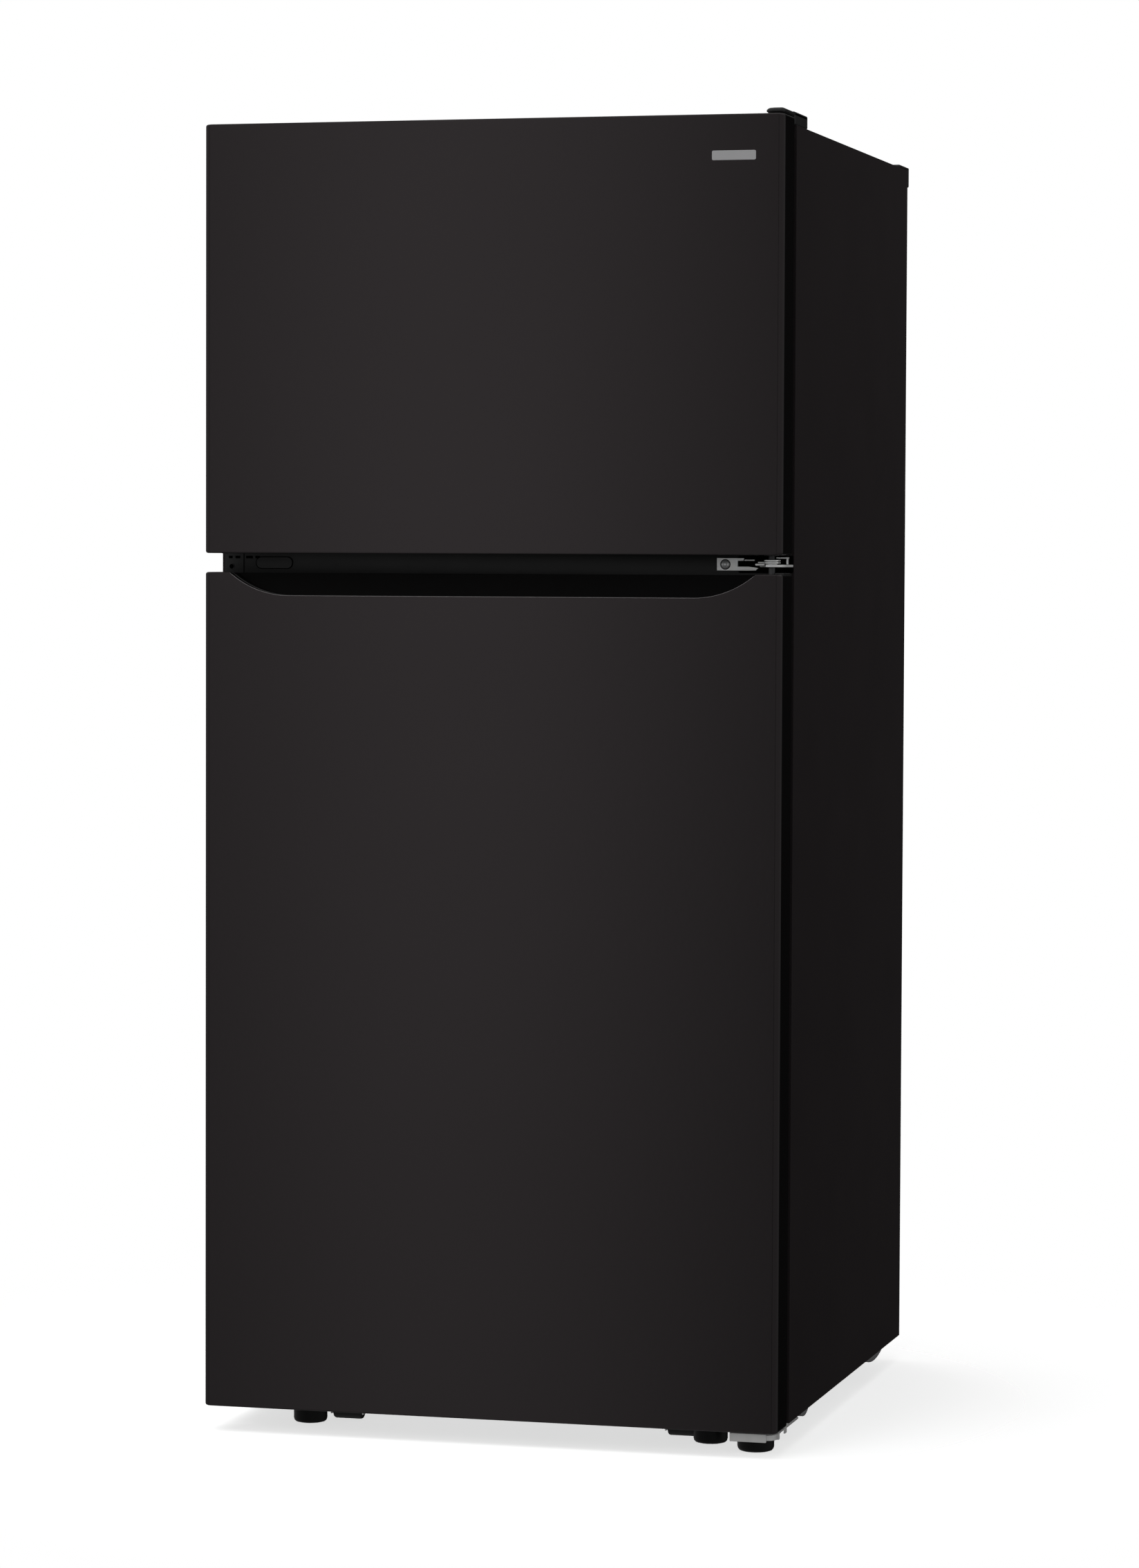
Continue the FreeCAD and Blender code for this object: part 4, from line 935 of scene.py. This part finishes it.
PIN_X, PIN_Y = 0.358, -0.372
plate_low, plate_high = 1.1105, 1.1265
plate_outline = [(0.279, plate_low), (0.3170, plate_low), (0.3290, plate_low + 0.0002), (0.3325, plate_low + 0.0030),
                 (0.3310, plate_low + 0.0038), (0.3200, plate_low + 0.0052), (0.306, plate_low + 0.0052),
                 (0.306, plate_high - 0.0038), (0.3135, plate_high - 0.0036), (0.3140, plate_high),
                 (0.279, plate_high)]
middle_plate = slab(plate_outline, "y", rail_face - 0.003, rail_face, 0.0004, 2)
upper_leaf = slab(cornered(0.3145, 0.3275, plate_high - 0.0036, plate_high - 0.0020, 0.0006), "y", rail_face - 0.0025,
                  rail_face - 0.0005, 0.0003, 2)
stop_low = slab(cornered(0.3360, 0.3480, 1.1168, 1.1196, 0.0011), "y", -0.3690, -0.3560, 0.0008, 2)
stop_high = slab(cornered(0.3390, 0.3480, 1.1200, 1.1218, 0.0008), "y", -0.3670, -0.3560, 0.0006, 2)
arm_outline = [(0.3380, rail_face - 0.0005), (0.3380, -0.3500), (0.3520, -0.3690), (0.3525, -0.3820),
               (0.3595, -0.3840),
               (0.3720, -0.3800), (0.3766, -0.3700), (0.3766, rail_face - 0.0005)]
middle_arm = slab(arm_outline, "z", 1.1150, 1.1182, 0.0006, 2)
leaves = [slab(cornered(0.3500, 0.3680, -0.3835, -0.3620, 0.0040), "z", low, high, 0.0006, 2)
          for low, high in ((1.1196, 1.1214), (1.1222, 1.1242))]
neck = turned([(0, 1.1180), (0.0068, 1.1180), (0.0068, 1.1235), (0, 1.1235)], (PIN_X, PIN_Y, 0))
side_leaf = slab(cornered(0.3640, 0.3768, 1.1258, 1.1274, 0.0005), "y", -0.3740, -0.3560, 0.0004, 2)
side_post = slab(cornered(0.3752, 0.3768, 1.1185, 1.1270, 0.0005), "y", -0.3660, -0.3600, 0.0004, 2)
fitted("middle_hinge_bracket", joined(middle_plate, upper_leaf, stop_low, stop_high, middle_arm, neck, *leaves,
                                      side_leaf, side_post), "cabinet", "zinc", zinc, "middle_hinge", smooth=35)
# A black sheet behind the bracket: painted shadow where the bracket shades the rail.
shade_sheet = slab(cornered(0.3065, 0.3766, 1.1075, 1.1295, 0.002), "y", rail_face - 0.0004, rail_face + 0.0006, 0.0002, 2)
fitted("middle_hinge_painted_shade", shade_sheet, "cabinet", "trim_plastic", painted_shade_black)
pins = [turned([(0, low), (0.0036, low), (0.0040, low + 0.0015), (0.0040, high - 0.0006), (0.0036, high), (0, high)],
               (PIN_X, PIN_Y, 0)) for low, high in ((1.0910, 1.1152), (1.1230, 1.1440))]
dark_steel = Finish("dark_steel", (0.06, 0.06, 0.062), (0.36, 0.12, 200, 2), (900, 2, 0.00003, 0.4), Metallic=0.6)
fitted("middle_hinge_pins", joined(*pins), "cabinet", "zinc", dark_steel)
screw_at = (0.290, rail_face - 0.0030, 1.1183)
pan_head = turned([(0, -0.0022), (0.0012, -0.0022), (0.0014, -0.0012), (0.0030, -0.0021), (0.0046, -0.0016),
                   (0.0054, -0.0006), (0.0054, 0), (0, 0)], screw_at, "y", 32)
fitted("middle_hinge_screw", pan_head, "cabinet", "zinc", zinc)
dark_ring = turned([(0.0054, -0.0004), (0.0066, -0.0004), (0.0066, 0.0002), (0.0054, 0.0002)], screw_at, "y", 32)
fitted("middle_hinge_washer", dark_ring, "cabinet", "zinc", black_plastic)
lower_bush = slab(cornered(0.3650, 0.3768, -0.3900, -0.3500, 0.003), "z", 1.1055, 1.1078, 0.0006, 2)
fitted("fridge_door_bush", lower_bush, "fridge_door", "zinc", satin_black)
upper_bush = turned([(0.0042, 0), (0.0090, 0.0004), (0.0095, 0.0012), (0.0095, 0.0018), (0.0042, 0.0020)],
                    (PIN_X, PIN_Y, 1.1288))
fitted("freezer_door_bush", upper_bush, "freezer_door", "zinc", satin_black)

SEAT_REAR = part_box("bottom_hinge")[1].y - 0.0005
tongue = [(0.316, -0.3945), (0.350, -0.3950), (0.362, -0.3930), (0.3715, -0.3860), (0.3755, -0.3740),
          (0.3755, SEAT_REAR), (0.316, SEAT_REAR)]
bottom_plate = slab(tongue, "z", 0.0295, 0.0320, 0.0006, 2)
bottom_seat = slab(cornered(0.317, 0.3750, -0.3285, SEAT_REAR - 0.0005, 0.003), "z", 0.0318, 0.0349, 0.0004, 2)
# The plate's free corner is rolled down into a curved skirt with an upright stop at its end.
skirt_path = [(0.3620, -0.3966), (0.3660, -0.3960), (0.3695, -0.3940), (0.3722, -0.3910), (0.3740, -0.3870),
              (0.3748, -0.3820), (0.3750, -0.3780)]
skirt = skirt_path + [(x - 0.0013, y + 0.0011) for x, y in reversed(skirt_path)]
bottom_skirt = slab(skirt, "z", 0.0235, 0.0305, 0.0005, 2)
stop_post = slab(cornered(0.3728, 0.3757, -0.3800, -0.3755, 0.0009), "z", 0.0225, 0.0322, 0.0006, 2)
rear_lug = slab(cornered(0.3735, 0.3757, -0.3440, -0.3340, 0.0009), "z", 0.0240, 0.0318, 0.0006, 2)
bottom_lip = slab(cornered(0.316, 0.363, 0.0210, 0.0320, (0.0012, 0.0012, 0.0004, 0.0004)), "y", -0.3980, -0.3952,
                  0.0006, 2)
bottom_bend = slab([(-0.3978, 0.0305), (-0.3970, 0.0316), (-0.3940, 0.0320), (-0.3940, 0.0296), (-0.3955, 0.0290)],
                   "x", 0.3165, 0.3625)
bottom_pin = turned([(0, 0.0300), (0.0075, 0.0320), (0.0075, 0.0326), (0.0040, 0.0329), (0.0040, 0.0465),
                     (0.0034, 0.0470), (0, 0.0470)], (PIN_X, PIN_Y, 0))
# The bottom bracket gets a darker copy of the zinc: painted shade that offsets the stronger light falling on it low
# at the front.
shaded_zinc = Finish("shaded_zinc", 0.44, (0.34, 0.14, 60, 3), (900, 2, 0.00003, 0.5), Metallic=0.70)
shaded_zinc.mottled((0.52, 0.52, 0.515), (0.64, 0.64, 0.635))
fitted("bottom_hinge_bracket", joined(bottom_plate, bottom_seat, bottom_lip, bottom_bend, bottom_skirt, stop_post,
                                      rear_lug, bottom_pin), "cabinet", "zinc", shaded_zinc, "bottom_hinge", smooth=35)
bottom_screw = hex_screw((0.332, -0.285, 0.0296), "z", -1)
fitted("bottom_hinge_screws", repeated(bottom_screw, 2, (0.028, 0, 0), zinc), "cabinet", "zinc", zinc)

eased_copy("top_hinge", "cabinet", "zinc", zinc, 0.0005, 2)
hood_low, hood_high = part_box("top_hinge_cover")
over_door = slab(cornered(hood_low.x, hood_high.x, hood_low.y, -0.262, (0.014, 0.006, 0.002, 0.002), 12), "z",
                 1.6762, hood_high.z, 0.0045, 6)
over_roof = slab(cornered(hood_low.x, hood_high.x, -0.334, hood_high.y, (0.002, 0.002, 0.003, 0.003)), "z",
                 hood_low.z + 0.0002, hood_high.z, 0.0022, 4)
fitted("top_hinge_hood", joined(over_door, over_roof), "cabinet", "trim_plastic", satin_black, "top_hinge_cover",
       smooth=40)

# ------------------------------------------------------------------ feet and rollers
# Black moulded levelling feet on threaded studs, a plain foot under the bottom hinge, and
# four rollers in zinc forks.

foot_black = Finish("foot_black", 0.0020, (0.32, 0.14, 50, 3), (1200, 2, 0.00006, 0.5), Specular_IOR_Level=0.18)
for side in ("left", "right"):
    node = "leg_" + side
    low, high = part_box(node)
    centre = ((low.x + high.x) / 2, (low.y + high.y) / 2, 0)
    foot = [(0, 0.0), (0.0165, 0.0), (0.0195, 0.0008), (0.0212, 0.0026), (0.0219, 0.0055), (0.0219, 0.0215),
            (0.0212, 0.0222), (0.0212, 0.0262), (0.0200, 0.0272), (0.0090, 0.0278), (0.0090, 0.0288)]
    thread = []
    for turn_number in range(16):
        base = 0.0292 + 0.0019 * turn_number
        thread += [(0.0042, base), (0.0049, base + 0.00095)]
    fitted(node + "_screw_foot", turned(foot + thread + [(0.0042, high.z - 0.0001), (0, high.z - 0.0001)], centre),
           node, "foot_plastic", foot_black, node)
low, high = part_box("hinge_foot")
centre = ((low.x + high.x) / 2, (low.y + high.y) / 2, 0)
sole_radius = (high.x - low.x) / 2 - 0.0001
sole = [(0, 0.0), (sole_radius - 0.0054, 0.0), (sole_radius - 0.0024, 0.0010), (sole_radius - 0.0007, 0.0032),
        (sole_radius, 0.0060), (sole_radius, 0.0185), (sole_radius - 0.0011, 0.0198), (0.0120, 0.0202),
        (0.0120, 0.0294), (0, 0.0294)]
fitted("hinge_foot_pad", turned(sole, centre), "cabinet", "foot_plastic", foot_black, "hinge_foot")
roller_grey = Finish("roller_grey", 0.008, (0.46, 0.14, 70, 2), (900, 2, 0.00008, 0.5), Specular_IOR_Level=0.3)
for end in ("front", "rear"):
    for side in ("left", "right"):
        node = "%s_roller_%s" % (end, side)
        low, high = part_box(node)
        middle = (low + high) / 2
        radius, half = (high.z - low.z) / 2, (high.x - low.x) / 2
        tread = [(0.0031, -half), (radius * 0.55, -half), (radius * 0.60, -half + 0.0015),
                 (radius - 0.003, -half + 0.0015),
                 (radius - 0.0025, -half), (radius - 0.0008, -half + 0.0006), (radius, -half + 0.0025),
                 (radius, half - 0.0025), (radius - 0.0008, half - 0.0006), (radius - 0.0025, half),
                 (radius - 0.003, half - 0.0015), (radius * 0.60, half - 0.0015), (radius * 0.55, half),
                 (0.0031, half)]
        fitted(node + "_wheel", turned(tread, middle, "x"), node, "roller_plastic", roller_grey, node)
eased_copy("roller_brackets", "cabinet", "zinc", zinc, 0.0004, 2)

# ------------------------------------------------------------------ corner caps and glides
# Black caps close the folded corners at the top of the back, and bowed dark grey glides
# are pressed into the bottom edge of each side.

eased_copy("rear_corner_caps", "cabinet", "trim_plastic", satin_black, 0.0016, 4)
glide_grey = Finish("glide_grey", (0.085, 0.085, 0.087), (0.45, 0.14, 60, 2), (700, 2, 0.00008, 0.5))
eased_copy("side_glides", "cabinet", "glide_plastic", glide_grey, 0.0006, 2)

# ------------------------------------------------------------------ badge
# A small plain plate of brushed metal near the top of the upper door.

brushed = Finish("brushed_plate", (0.74, 0.74, 0.75), (0.22, 0.18, 900, 3, (0.04, 1, 1)), Metallic=1.0)
brushed.relief(brushed.patches, 0.00003, 0.5)
badge_low, badge_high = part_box("badge")
badge = slab(cornered(badge_low.x, badge_high.x, badge_low.z, badge_high.z, 0.002), "y", badge_low.y, badge_high.y,
             0.0003, 2)
fitted("plain_badge", badge, "freezer_door", "badge_metal", brushed, "badge")
